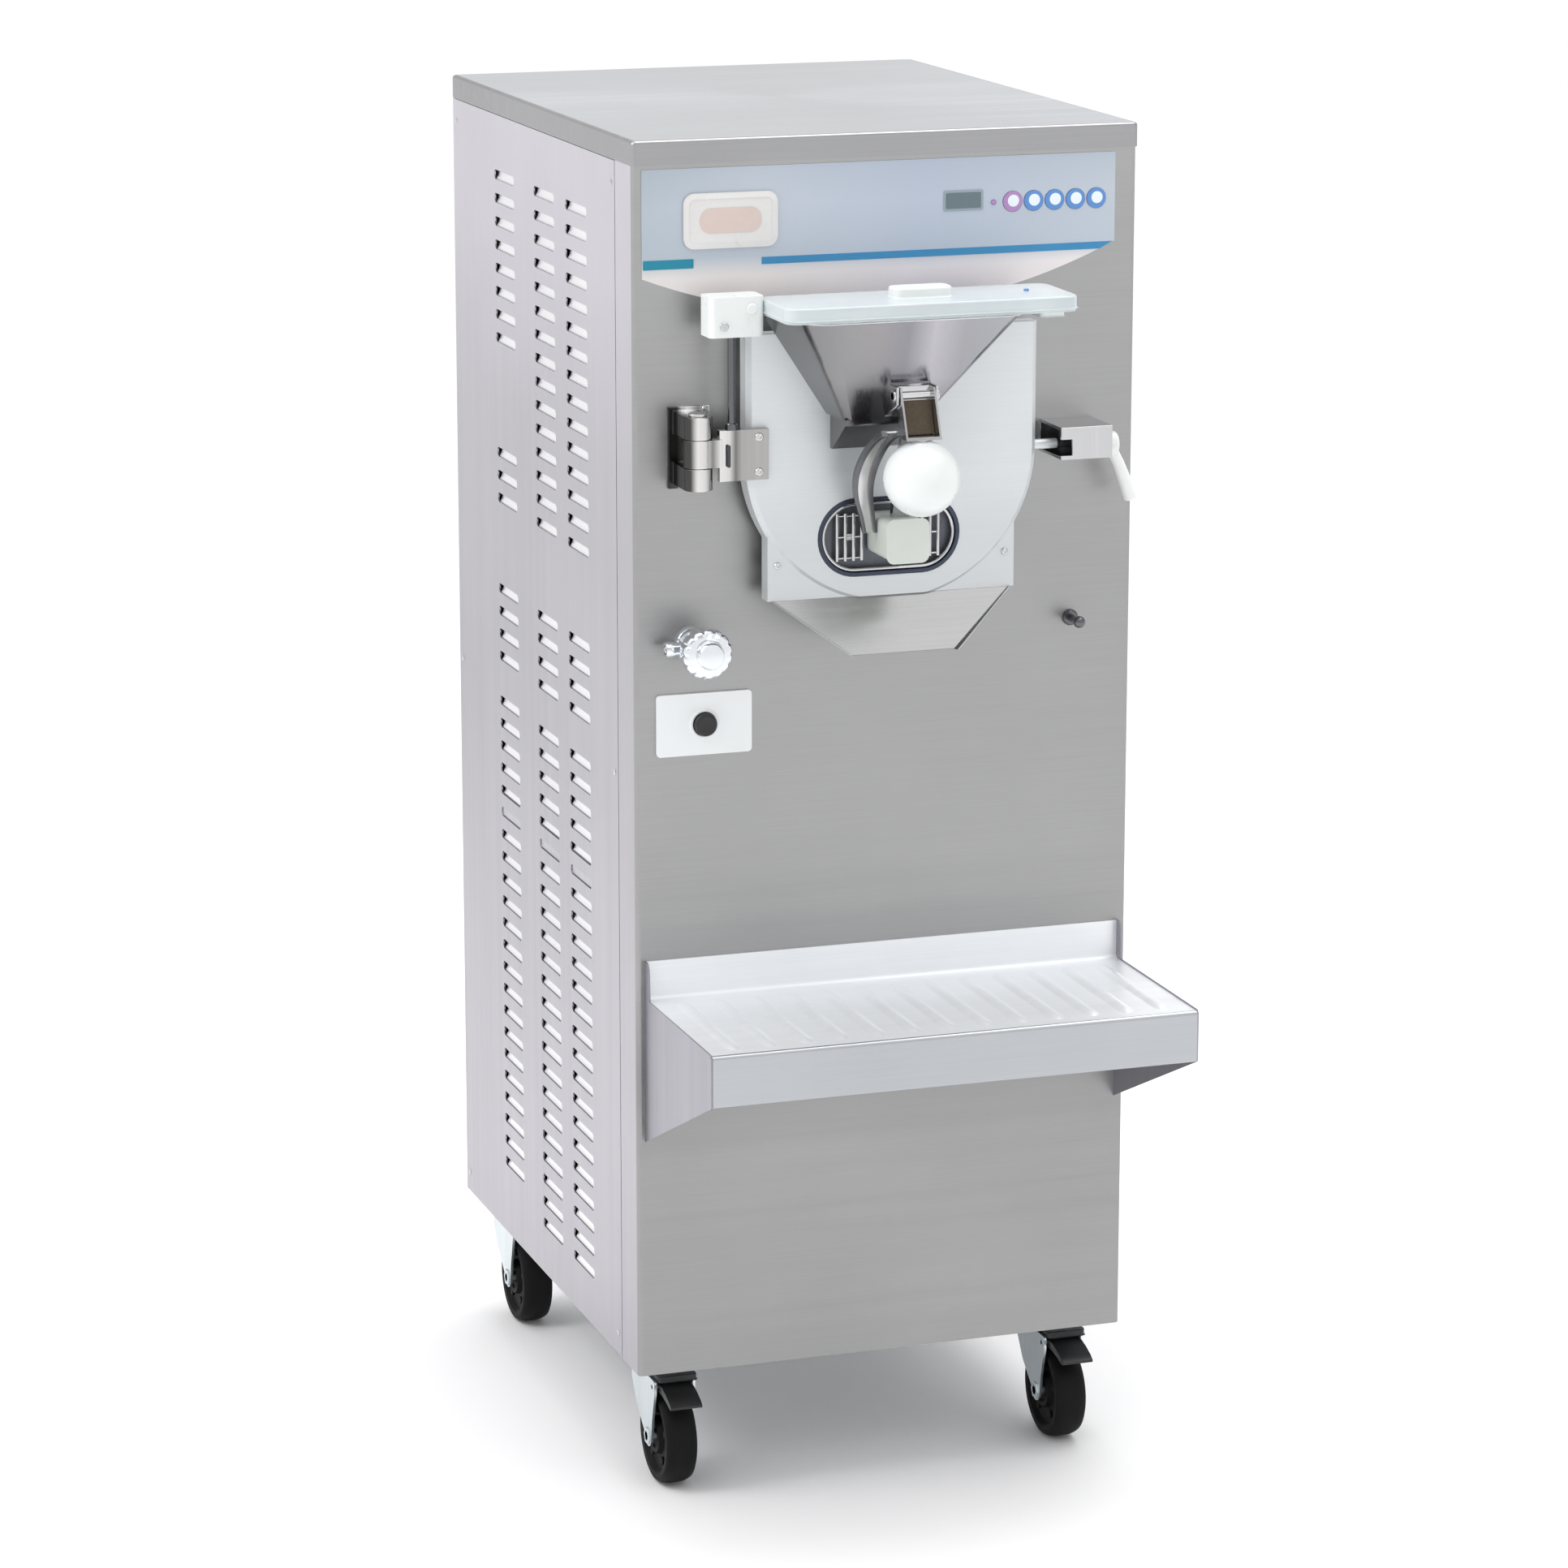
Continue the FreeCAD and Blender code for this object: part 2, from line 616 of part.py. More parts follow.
def fascia_outline(sketch):
    """Straight top and sides, and a lower edge that sags in one arc."""
    left_low = Vector(float(d.fascia_left), float(d.fascia_left_z), 0)
    left_top = Vector(float(d.fascia_left), float(d.fascia_top), 0)
    right_top = Vector(float(d.fascia_right), float(d.fascia_top), 0)
    right_low = Vector(float(d.fascia_right), float(d.fascia_right_z), 0)
    chord = right_low - left_low
    rise = math.sqrt(float(d.fascia_arc) ** 2 - (chord.Length / 2) ** 2)
    normal = Vector(-chord.y, chord.x, 0).normalize()
    centre = (left_low + right_low) / 2 + normal * rise
    start = math.atan2(left_low.y - centre.y, left_low.x - centre.x)
    end = math.atan2(right_low.y - centre.y, right_low.x - centre.x)
    base = Part.Circle(centre, Vector(0, 0, 1), float(d.fascia_arc))
    arc = sketch.addGeometry(Part.ArcOfCircle(base, start, end))
    lines = [sketch.addGeometry(Part.LineSegment(*ends)) for ends in
             ((right_low, right_top), (right_top, left_top), (left_top, left_low))]
    loop = [arc] + lines
    for i, piece in enumerate(loop):
        following = loop[(i + 1) % len(loop)]
        sketch.addConstraint(Sketcher.Constraint("Coincident", piece, 2, following, 1))
    pin_point(sketch, arc, 1, d.fascia_left, d.fascia_left_z)
    pin_point(sketch, arc, 2, d.fascia_right, d.fascia_right_z)
    pin_point(sketch, lines[1], 1, d.fascia_right, d.fascia_top)
    pin_point(sketch, lines[1], 2, d.fascia_left, d.fascia_top)
    hold_radius(sketch, arc, d.fascia_arc)


def key_centre(number):
    """X of a round key, counted from the left."""
    return d.key_x + d.key_pitch * number


key_holes = [circle(key_centre(i), d.key_z, d.key_radius + d.key_gap) for i in range(KEY_COUNT)]
node("control_fascia", plate_xz(ahead(d.film), front, fascia_outline, *key_holes))
node("badge_plate", plate_xz(ahead(d.film + d.badge_height), ahead(d.film),
                             rounded(d.badge_left, d.badge_low, d.badge_right, d.badge_high,
                                     d.badge_corner)))
for i in range(KEY_COUNT):
    start = (key_centre(i), ahead(d.film + d.key_height), d.key_z)
    node(f"key_{i + 1}", rod(d.key_radius, start, "Y", d.key_height))

# ---------------------------------------------------------------- freezing barrel and drive


def on_axis(y):
    """A point on the barrel's axis."""
    return (d.door_x, y, d.door_z)


def freezing_barrel():
    """Stainless barrel with its front flange, rear wall and rear bearing boss."""
    end = behind(d.barrel_length)
    flange = tube(d.flange_radius, d.barrel_radius, on_axis(ahead(d.flange_front)), "Y",
                  d.flange_front)
    wall = tube(d.barrel_radius + d.barrel_wall, d.barrel_radius, on_axis(front), "Y", d.barrel_length)
    rear = rod(d.barrel_radius + d.barrel_wall, on_axis(end), "Y", d.barrel_end)
    boss = rod(d.boss_radius, on_axis(end + d.barrel_end), "Y", d.boss_length)
    bore = rod(d.shaft_radius + d.running, on_axis(end - 1), "Y", d.barrel_end + d.boss_length + 2)
    return cut(fuse(flange, wall, rear, boss), bore)


def beater():
    """Shaft with two cross arms joined by two long bars."""
    shaft = rod(d.shaft_radius, on_axis(behind(d.shaft_front)), "Y", d.shaft_end - d.shaft_front)
    parts = [shaft]
    for y_low in (behind(d.shaft_front), behind(d.arm_back - d.arm_thick)):
        parts.append(block((d.door_x - d.arm_half, y_low, d.door_z - d.arm_reach),
                           (d.door_x + d.arm_half, y_low + d.arm_thick, d.door_z + d.arm_reach)))
    for z_low in (d.door_z - d.arm_reach, d.door_z + d.arm_reach - d.bar_depth):
        parts.append(block((d.door_x - d.arm_half, behind(d.shaft_front), z_low),
                           (d.door_x + d.arm_half, behind(d.arm_back), z_low + d.bar_depth)))
    return fuse(*parts)


def scraper_blades():
    """Two plastic blades along the beater's long bars."""
    y_low = behind(d.shaft_front + d.arm_thick)
    y_high = behind(d.arm_back - d.arm_thick)
    blades = []
    for z_low in (d.door_z + d.arm_reach, d.door_z - d.arm_reach - d.blade_depth):
        blades.append(block((d.door_x - d.blade_half, y_low, z_low),
                            (d.door_x + d.blade_half, y_high, z_low + d.blade_depth)))
    return group(*blades)


def pulley(x, z, radius, bore):
    """Belt pulley with a raised rim on each side."""
    start = behind(d.pulley_start)
    rim = 4
    tread = rod(radius, (x, start, z), "Y", d.pulley_width)
    near_rim = rod(radius + rim, (x, start, z), "Y", rim)
    far_rim = rod(radius + rim, (x, start + d.pulley_width - rim, z), "Y", rim)
    wheel = fuse(tread, near_rim, far_rim)
    return cut(wheel, rod(bore, (x, start - 1, z), "Y", d.pulley_width + 2))


def motor_pulley():
    """Small pulley fixed on the motor's shaft."""
    wheel = pulley(d.door_x, d.motor_z, d.small_pulley, d.motor_shaft)
    start = behind(d.motor_end - 20)
    length = d.pulley_start + d.pulley_width + 5 - d.motor_end + 20
    return fuse(wheel, rod(d.motor_shaft, (d.door_x, start, d.motor_z), "Y", length))


def drive_belt():
    """Belt loop around both pulleys."""
    loops = []
    for extra in (d.belt_gap, d.belt_gap + d.belt_thick):
        loops.append(belt_loop((d.door_x, d.door_z, d.big_pulley + extra),
                               (d.door_x, d.motor_z, d.small_pulley + extra)))
    middle = behind(d.pulley_start + d.pulley_width / 2)
    return plate_xz(middle - d.belt_width / 2 + 0.4, middle + d.belt_width / 2 - 0.4, *loops)


def drive_motor():
    """Motor on its foot, with a bore for the shaft."""
    body = rod(d.motor_radius, (d.door_x, behind(d.motor_start), d.motor_z), "Y",
               d.motor_end - d.motor_start)
    foot = block((d.door_x - d.motor_foot, behind(d.motor_start + 40), d.deck_height),
                 (d.door_x + d.motor_foot, behind(d.motor_end - 40), d.motor_z - d.motor_foot))
    bore = rod(d.motor_shaft + d.running, (d.door_x, behind(d.motor_end - 21), d.motor_z), "Y", 25)
    return cut(fuse(body, foot), bore)


node("freezing_barrel", freezing_barrel())
node("barrel_insulation", tube(d.barrel_radius + d.barrel_wall + d.foam_thickness,
                               d.barrel_radius + d.barrel_wall, on_axis(behind(d.foam_start)), "Y",
                               d.foam_length))
node("beater", beater())
node("scraper_blades", scraper_blades())
node("beater_pulley", pulley(d.door_x, d.door_z, d.big_pulley, d.shaft_radius))
node("motor_pulley", motor_pulley())
node("drive_belt", drive_belt())
node("drive_motor", drive_motor())

# ---------------------------------------------------------------- refrigeration and electrics


def compressor():
    """Hermetic compressor pot on a foot plate."""
    floor = d.cabinet_bottom + d.frame_wall
    x = d.compressor_x
    y = behind(d.compressor_y)
    pot = rod(d.compressor_radius, (x, y, d.compressor_low), "Z", d.compressor_high - d.compressor_low)
    top = cone(d.compressor_radius, d.compressor_radius / 2, (x, y, d.compressor_high), "Z",
               d.compressor_dome)
    foot = block((x - 80, y - 80, floor), (x + 80, y + 80, d.compressor_low))
    return fuse(pot, top, foot)


def condenser_unit():
    """Finned coil with its fan shroud and the fan motor on two struts."""
    low = (d.condenser_left, behind(d.condenser_front), d.condenser_low)
    coil = block(low, (d.condenser_right, behind(d.condenser_back), d.condenser_high))
    shroud = block((d.condenser_left, behind(d.shroud_front), d.condenser_low),
                   (d.condenser_right, behind(d.condenser_front), d.condenser_high))
    hole = rod(d.fan_hole, (d.fan_x, behind(d.shroud_front - 1), d.fan_z), "Y",
               d.condenser_front - d.shroud_front + 1)
    motor = rod(d.fan_motor_radius, (d.fan_x, behind(d.fan_motor_start), d.fan_z), "Y",
                d.fan_motor_end - d.fan_motor_start)
    bore = rod(d.fan_stub + d.running, (d.fan_x, behind(d.fan_motor_end - 16), d.fan_z), "Y", 20)
    strut = block((d.condenser_left, behind(d.shroud_front - 8), d.fan_z - d.strut_half),
                  (d.condenser_right, behind(d.shroud_front), d.fan_z + d.strut_half))
    legs = [block((x, behind(d.condenser_front), d.cabinet_bottom + d.frame_wall),
                  (x + 20, behind(d.condenser_back), d.condenser_low))
            for x in (d.condenser_left, d.condenser_right - 20)]
    return cut(fuse(coil, cut(shroud, hole), motor, strut, *legs), bore)


def condenser_fan():
    """Fan hub with four pitched blades and a stub shaft."""
    start = (d.fan_x, behind(d.fan_start), d.fan_z)
    hub = rod(d.fan_hub, start, "Y", d.fan_width)
    stub = rod(d.fan_stub, (d.fan_x, behind(d.fan_motor_end - 15), d.fan_z), "Y", 25)
    blades = Part.Shape()
    reach = float(d.fan_radius)
    for turn in range(4):
        blade = Part.makeBox(reach - 20, 2.5, 46, Vector(20, 0, -23))
        blade.rotate(Vector(0, 0, 0), Vector(1, 0, 0), 60)
        blade.rotate(Vector(0, 0, 0), Vector(0, 1, 0), 90 * turn)
        blades = blade if turn == 0 else blades.fuse(blade)
    keep = Part.makeCylinder(reach, float(d.fan_width), Vector(0, -float(d.fan_width) / 2, 0),
                             Vector(0, 1, 0))
    feature = doc.addObject("Part::Feature", "Blades")
    feature.Shape = blades.common(keep)
    put(feature, (d.fan_x, behind(d.fan_start + d.fan_width / 2), d.fan_z))
    return fuse(hub, stub, feature)


node("compressor", compressor())
node("condenser_unit", condenser_unit())
node("condenser_fan", condenser_fan())
node("electrical_box", block((d.box_left, behind(d.box_front), d.box_low),
                             (d.box_right, behind(d.box_back), d.box_high)))

# ---------------------------------------------------------------- door

BAR_COUNT = 4


def door_body():
    """Door, round below and straight-sided above, with an apron, an oval recess and two holes."""
    disc = turned((0, ahead(d.door_front)), (d.door_radius - d.door_chamfer, ahead(d.door_front)),
                  (d.door_radius, ahead(d.door_front - d.door_chamfer)),
                  (d.door_radius, ahead(d.door_back)), (d.gasket_outer, ahead(d.door_back)),
                  (d.gasket_outer, ahead(d.gasket_front)), (d.gasket_inner, ahead(d.gasket_front)),
                  (d.gasket_inner, ahead(d.door_back)), (d.plug_radius, ahead(d.door_back)),
                  (d.plug_radius, ahead(d.plug_back)), (0, ahead(d.plug_back)))
    apron = block((d.door_x - d.apron_half, ahead(d.apron_front), d.apron_low),
                  (d.door_x + d.apron_half, ahead(d.gasket_front + 1), d.apron_high))
    left = d.door_x - d.door_radius
    right = d.door_x + d.door_radius
    slope = d.door_front - d.door_chamfer
    shoulders = plate_xy(d.door_z, d.shoulder_top,
                         poly((left, ahead(d.gasket_front + 1)), (left, ahead(slope)),
                              (left + d.door_chamfer, ahead(d.door_front)),
                              (right - d.door_chamfer, ahead(d.door_front)), (right, ahead(slope)),
                              (right, ahead(d.gasket_front + 1))))
    stud = rod(d.stud_radius, (d.door_x + d.door_radius - 12, ahead(d.stud_y), d.stud_z), "X",
               d.stud_tip - d.door_x - d.door_radius + 12)
    below = block((d.door_x - d.door_radius, ahead(d.door_front + 1), d.door_z - d.door_radius - 1),
                  (d.door_x + d.door_radius, ahead(d.door_back - 1), d.apron_low))
    above = block((left, ahead(d.door_front + 1), d.crown_top),
                  (right, ahead(d.door_back - 1), d.door_z + d.door_radius + 1))
    recess = plate_xz(ahead(d.door_front + 1), ahead(d.recess_floor),
                      slot(d.outlet_x, d.outlet_z, d.outlet_width, d.outlet_height))
    port = block((d.outlet_x - d.port_half, ahead(d.door_front), d.port_low),
                 (d.outlet_x + d.port_half, ahead(0), d.port_high))
    feed = block((d.feed_x - d.feed_half, ahead(d.door_front + 1), d.feed_low),
                 (d.feed_x + d.feed_half, ahead(0), d.feed_high))
    return cut(fuse(disc, shoulders, apron, stud), below, above, recess, port, feed)


def outlet_grille():
    """Upright guard bars on both sides of the port, on three cross wires."""
    z_low = d.outlet_z - d.bar_half_height
    z_high = d.outlet_z + d.bar_half_height
    inner = d.gate_half + d.bar_gap
    outer = inner + d.bar_pitch * (BAR_COUNT - 1)
    halves = []
    for x_low, x_high in ((d.outlet_x - outer, d.outlet_x - inner),
                          (d.outlet_x + inner, d.outlet_x + outer)):
        bars = [rod(d.bar_radius, (x_low + d.bar_pitch * i, ahead(d.bar_front), z_low), "Z",
                    z_high - z_low) for i in range(BAR_COUNT)]
        wires = [rod(d.bar_radius, (x_low, ahead(d.bar_front), z), "X", x_high - x_low)
                 for z in (z_low + 3, d.outlet_z, z_high - 3)]
        foot_x = (x_low + x_high) / 2
        foot = block((foot_x - 3, ahead(d.bar_front), d.outlet_z - 3),
                     (foot_x + 3, ahead(d.recess_floor), d.outlet_z + 3))
        halves.append(fuse(*bars, *wires, foot))
    return group(*halves)


def hopper_wire(z, inset):
    """Outline of the hopper at its rim or at its throat: flat back, round front corners."""
    rim = z == "rim"
    level = float(d.hopper_top if rim else d.hopper_low)
    left = float(d.hopper_left if rim else d.throat_x - d.throat_half) + inset
    right = float(d.hopper_right if rim else d.throat_x + d.throat_half) - inset
    taper = float(d.hopper_taper if rim else d.throat_taper)
    corner = float(d.hopper_corner if rim else d.throat_corner)
    y_front = float(ahead(d.hopper_front if rim else d.throat_front)) + inset
    y_back = float(ahead(d.door_front)) - inset
    level += (0.1 if rim else -0.1) if inset else 0
    points = [Vector(left, y_back, level), Vector(left + taper, y_front, level),
              Vector(right - taper, y_front, level), Vector(right, y_back, level)]
    edges = []
    cursor = points[0]
    for before, here, after in ((points[0], points[1], points[2]), (points[1], points[2], points[3])):
        arrive = (here - before).normalize()
        leave = (after - here).normalize()
        turn = arrive.getAngle(leave)
        reach = corner * math.tan(turn / 2)
        start = here - arrive * reach
        end = here + leave * reach
        centre_way = (leave - arrive).normalize()
        middle = here + centre_way * (corner / math.cos(turn / 2) - corner)
        edges.append(Part.LineSegment(cursor, start).toShape())
        edges.append(Part.Arc(start, middle, end).toShape())
        cursor = end
    edges.append(Part.LineSegment(cursor, points[3]).toShape())
    edges.append(Part.LineSegment(points[3], points[0]).toShape())
    return Part.Wire(edges)


def hopper():
    """Stainless funnel that ends in a wedge-shaped throat against the door's feed hole."""
    outer = Part.makeLoft([hopper_wire("throat", 0), hopper_wire("rim", 0)], True, True)
    wall = float(d.hopper_wall)
    inner = Part.makeLoft([hopper_wire("throat", wall), hopper_wire("rim", wall)], True, True)
    funnel = doc.addObject("Part::Feature", "Funnel")
    funnel.Shape = outer.cut(inner)
    x_low = d.throat_x - d.throat_half + d.throat_taper
    x_high = d.throat_x + d.throat_half - d.throat_taper
    step = d.spout_wall * 2
    throat = plate_yz(x_low, x_high,
                      poly((ahead(d.door_front), d.hopper_low), (ahead(d.throat_front), d.hopper_low),
                           (ahead(d.throat_front), d.hopper_low - step),
                           (ahead(d.door_front + step), d.spout_low), (ahead(d.door_front), d.spout_low)))
    front_in = d.throat_front - d.spout_wall
    passage = plate_yz(x_low + d.spout_wall, x_high - d.spout_wall,
                       poly((ahead(d.door_front - 1), d.hopper_low + 1), (ahead(front_in), d.hopper_low + 1),
                            (ahead(front_in), d.hopper_low - 4),
                            (ahead(d.door_front + 5), d.spout_low + step),
                            (ahead(d.door_front - 1), d.spout_low + step)))
    return fuse(funnel, cut(throat, passage))


def drip_chute():
    """Sloping trapezoid sheet under the apron, with side edges turned up."""
    top = d.apron_low
    lean = poly((ahead(d.apron_front), top), (ahead(d.chute_front), d.chute_low),
                (ahead(d.chute_front - 2), d.chute_low - 1), (ahead(d.apron_front - 2), top - 1))
    blank = plate_yz(d.door_x - d.chute_top_half, d.door_x + d.chute_top_half, lean)
    outline = plate_xz(ahead(d.chute_front + 20), ahead(d.apron_front - 10),
                       poly((d.door_x - d.chute_low_half, d.chute_low - 1),
                            (d.door_x + d.chute_low_half, d.chute_low - 1),
                            (d.door_x + d.chute_top_half, top), (d.door_x - d.chute_top_half, top)))
    edge_lean = poly((ahead(d.apron_front - 2), top), (ahead(d.apron_front + 3), top),
                     (ahead(d.chute_front + 8), d.chute_low), (ahead(d.chute_front - 2), d.chute_low - 1))
    edge_blank = plate_yz(d.door_x - d.chute_top_half, d.door_x + d.chute_top_half, edge_lean)
    edges = []
    for side in (-1, 1):
        low_x = d.door_x + side * d.chute_low_half
        top_x = d.door_x + side * d.chute_top_half
        points = [(low_x, d.chute_low - 1), (top_x, top), (top_x - side * 2, top),
                  (low_x - side * 2, d.chute_low - 1)]
        edges.append(plate_xz(ahead(d.chute_front + 20), ahead(d.apron_front - 10), poly(*points)))
    return fuse(common(blank, outline), common(edge_blank, fuse(*edges)))


node("door_body", door_body())
node("door_gasket", tube(d.gasket_outer, d.gasket_inner, on_axis(ahead(d.gasket_front)), "Y",
                         d.gasket_front - d.gasket_back))
node("outlet_grille", outlet_grille())
node("hopper", hopper())
node("drip_chute", drip_chute())

# ---------------------------------------------------------------- hopper lid and its rod


def hopper_lid():
    """Flat lid with a raised knob and a block at its free end."""
    sheet_body = plate_xy(d.lid_low, d.lid_high,
                          rounded(d.lid_left, ahead(d.lid_front), d.lid_right, ahead(d.lid_back),
                                  d.lid_corner))
    knob = block((d.lid_knob_x - d.lid_knob_half, ahead(d.lid_knob_front), d.lid_high - 1),
                 (d.lid_knob_x + d.lid_knob_half, ahead(d.lid_knob_back), d.lid_knob_top))
    end_block = block((d.end_block_left, ahead(d.lid_front - 30), d.end_block_low),
                      (d.lid_right - 4, ahead(d.lid_back + 18), d.lid_high))
    return fuse(sheet_body, knob, end_block)


def lid_hinge_block():
    """Block that turns on the rod and carries the lid."""
    body = plate_xy(d.block_low, d.block_high,
                    rounded(d.block_left, ahead(d.block_front), d.lid_left, ahead(d.block_back), 6),
                    circle(d.rod_x, ahead(d.rod_y), d.rod_radius + d.running))
    return body


node("hopper_lid", hopper_lid())
node("lid_hinge_block", lid_hinge_block())
node("lid_rod", rod(d.rod_radius, (d.rod_x, ahead(d.rod_y), d.leaf_high), "Z",
                    d.block_high - 3 - d.leaf_high))

# ---------------------------------------------------------------- door hinge and latch


def hinge_at(z):
    """A point on the door hinge's axis."""
    return (d.hinge_x, ahead(d.hinge_y), z)


def hinge_bracket():
    """Base plate on the front panel with an upper and a lower knuckle."""
    base = block((d.hinge_base_left, ahead(d.hinge_base_thick), d.hinge_base_low),
                 (d.hinge_base_right, front, d.hinge_base_high))
    parts = [base]
    for low, high in ((d.knuckle_low, d.knuckle_low_top), (d.knuckle_high_bottom, d.knuckle_high)):
        parts.append(rod(d.knuckle_radius, hinge_at(low), "Z", high - low))
        parts.append(block((d.hinge_x - d.knuckle_radius, ahead(d.hinge_y), low),
                           (d.hinge_x + d.knuckle_radius, front, high)))
    bore = rod(d.hinge_pin, hinge_at(d.knuckle_low - 1), "Z", d.knuckle_high - d.knuckle_low + 2)
    return cut(fuse(*parts), bore)


def hinge_arm():
    """Middle knuckle with a leaf that lies on the door's face."""
    low = d.knuckle_low_top + d.hinge_gap
    high = d.knuckle_high_bottom - d.hinge_gap
    knuckle = rod(d.knuckle_radius, hinge_at(low), "Z", high - low)
    neck = block((d.hinge_x, ahead(d.neck_front), low), (d.leaf_left + 2, ahead(d.door_front), high))
    leaf = block((d.leaf_left, ahead(d.leaf_front), d.leaf_low),
                 (d.leaf_right, ahead(d.door_front), d.leaf_high))
    bore = rod(d.hinge_pin + d.running, hinge_at(low - 1), "Z", high - low + 2)
    return cut(fuse(knuckle, neck, leaf), bore)


def hinge_pin():
    """Pin through all three knuckles, with a flat head."""
    pin = rod(d.hinge_pin, hinge_at(d.knuckle_low), "Z", d.knuckle_high - d.knuckle_low)
    head = rod(d.hinge_pin + 3, hinge_at(d.knuckle_high), "Z", 3)
    return fuse(pin, head)


def latch_housing():
    """Box on the panel, open to the door, with a notch that lets the door's stud in."""
    box = block((d.latch_left, ahead(d.latch_front), d.latch_low), (d.latch_right, front, d.latch_high))
    hollow = block((d.latch_left - 1, ahead(d.latch_front - d.latch_wall), d.latch_low + d.latch_wall),
                   (d.latch_right - d.latch_wall, ahead(d.latch_wall), d.latch_high - d.latch_wall))
    notch = block((d.latch_left - 1, ahead(d.latch_front + 1), d.stud_z - d.latch_notch_half),
                  (d.latch_notch, ahead(d.stud_y), d.stud_z + d.latch_notch_half))
    bore = rod(d.latch_bore + d.running, (d.latch_right - d.latch_wall - 1, ahead(d.latch_axis_y),
                                          d.latch_axis_z), "X", d.latch_wall + 2)
    return cut(box, hollow, notch, bore)


def latch_handle():
    """Shaft and hub with a tapered grip that hangs down and outwards."""
    centre_y = ahead(d.latch_axis_y)
    shaft = rod(d.latch_bore, (d.latch_right - 18, centre_y, d.latch_axis_z), "X", 22)
    hub = rod(d.latch_hub, (d.latch_right + 0.5, centre_y, d.latch_axis_z), "X", 12)
    x = d.latch_right + 0.5
    grip = plate_xz(centre_y - d.grip_half, centre_y + d.grip_half,
                    poly((x, d.latch_axis_z - 6), (x + 12, d.latch_axis_z + 4),
                         (d.grip_right, d.grip_bottom + 8), (d.grip_right - 4, d.grip_bottom),
                         (d.grip_right - 13, d.grip_bottom + 2)))
    return fuse(shaft, hub, grip)


node("hinge_bracket", hinge_bracket())
node("hinge_arm", hinge_arm())
node("hinge_pin", hinge_pin())
node("latch_housing", latch_housing())
node("latch_handle", latch_handle())

# ---------------------------------------------------------------- extraction lever


def funnel_front(z):
    """Depth of the funnel's sloping front wall at a height."""
    share = (z - d.hopper_low) / (d.hopper_top - d.hopper_low)
    return ahead(d.throat_front + (d.hopper_front - d.throat_front) * share)


def lever_bracket():
    """Base plate on the funnel's front wall with two ears and the pivot pin between them."""
    ear_low = d.lever_half + d.ear_gap
    ear_high = ear_low + d.ear_sheet
    low = d.hopper_low + 2
    high = d.pivot_z + 9
    base = plate_yz(d.outlet_x - ear_high, d.outlet_x + ear_high,
                    poly((funnel_front(low), low), (funnel_front(high), high),
                         (funnel_front(high) - 2, high), (funnel_front(low) - 2, low)))
    outline = poly((funnel_front(low), low), (funnel_front(high), high), (ahead(d.pivot_y + 7), high),
                   (ahead(d.pivot_y + 7), d.pivot_z - 8))
    ears = [plate_yz(d.outlet_x - ear_high, d.outlet_x - ear_low, outline),
            plate_yz(d.outlet_x + ear_low, d.outlet_x + ear_high, outline)]
    pin = rod(d.pivot_pin, (d.outlet_x - ear_high - 2, ahead(d.pivot_y), d.pivot_z), "X",
              ear_high * 2 + 4)
    return fuse(base, *ears, pin)


def extraction_lever():
    """Channel that opens to the front, with a stem for the ball and a strut to the plug."""
    top = d.pivot_z + 8
    low = d.ball_z + d.ball_radius + 1
    outer = plate_yz(d.outlet_x - d.lever_half, d.outlet_x + d.lever_half,
                     poly((ahead(d.pivot_y - 7), top), (ahead(d.pivot_y + 7), top),
                          (ahead(d.ball_y + 7), low), (ahead(d.ball_y - 12), low)))
    sheet_in = d.lever_half - d.lever_sheet
    web = d.pivot_y - 7 + d.lever_sheet
    inner = plate_yz(d.outlet_x - sheet_in, d.outlet_x + sheet_in,
                     poly((ahead(web), top + 1), (ahead(web + 20), top + 1),
                          (ahead(d.ball_y + 30), low + 3), (ahead(d.ball_y - 9), low + 3)))
    stem = rod(d.stem_radius, (d.outlet_x, ahead(d.stem_y), d.stem_low), "Z", low + 2 - d.stem_low)
    strut = plate_yz(d.outlet_x - d.strut_x_half, d.outlet_x + d.strut_x_half,
                     poly((ahead(d.pivot_y + 1), d.pivot_z - 10), (ahead(d.pivot_y + 2), d.pivot_z - 17),
                          (ahead(d.pivot_y - 14), d.pivot_z - 50),
                          (ahead(d.pivot_y - 24), d.pivot_z - 86),
                          (ahead(d.gate_back + 43), d.gate_high), (ahead(d.gate_back + 35), d.gate_high),
                          (ahead(d.pivot_y - 32), d.pivot_z - 86),
                          (ahead(d.pivot_y - 22), d.pivot_z - 50)))
    holes = rod(d.pivot_pin + d.running, (d.outlet_x - 25, ahead(d.pivot_y), d.pivot_z), "X", 50)
    return cut(fuse(cut(outer, inner), stem, strut), holes)


def ball_knob():
    """Ball with a blind bore on the lever's stem."""
    knob = ball(d.ball_radius, (d.outlet_x, ahead(d.ball_y), d.ball_z))
    bore = rod(d.stem_radius, (d.outlet_x, ahead(d.stem_y), d.stem_low), "Z", d.ball_radius + 5)
    return cut(knob, bore)


node("lever_bracket", lever_bracket())
node("extraction_lever", extraction_lever())
node("ball_knob", ball_knob())
node("gate_plug", plate_xz(ahead(d.gate_front), ahead(d.gate_back),
                           rounded(d.outlet_x - d.gate_half, d.gate_low, d.outlet_x + d.gate_half,
                                   d.gate_high, 6)))

# ---------------------------------------------------------------- tap, switch and hook


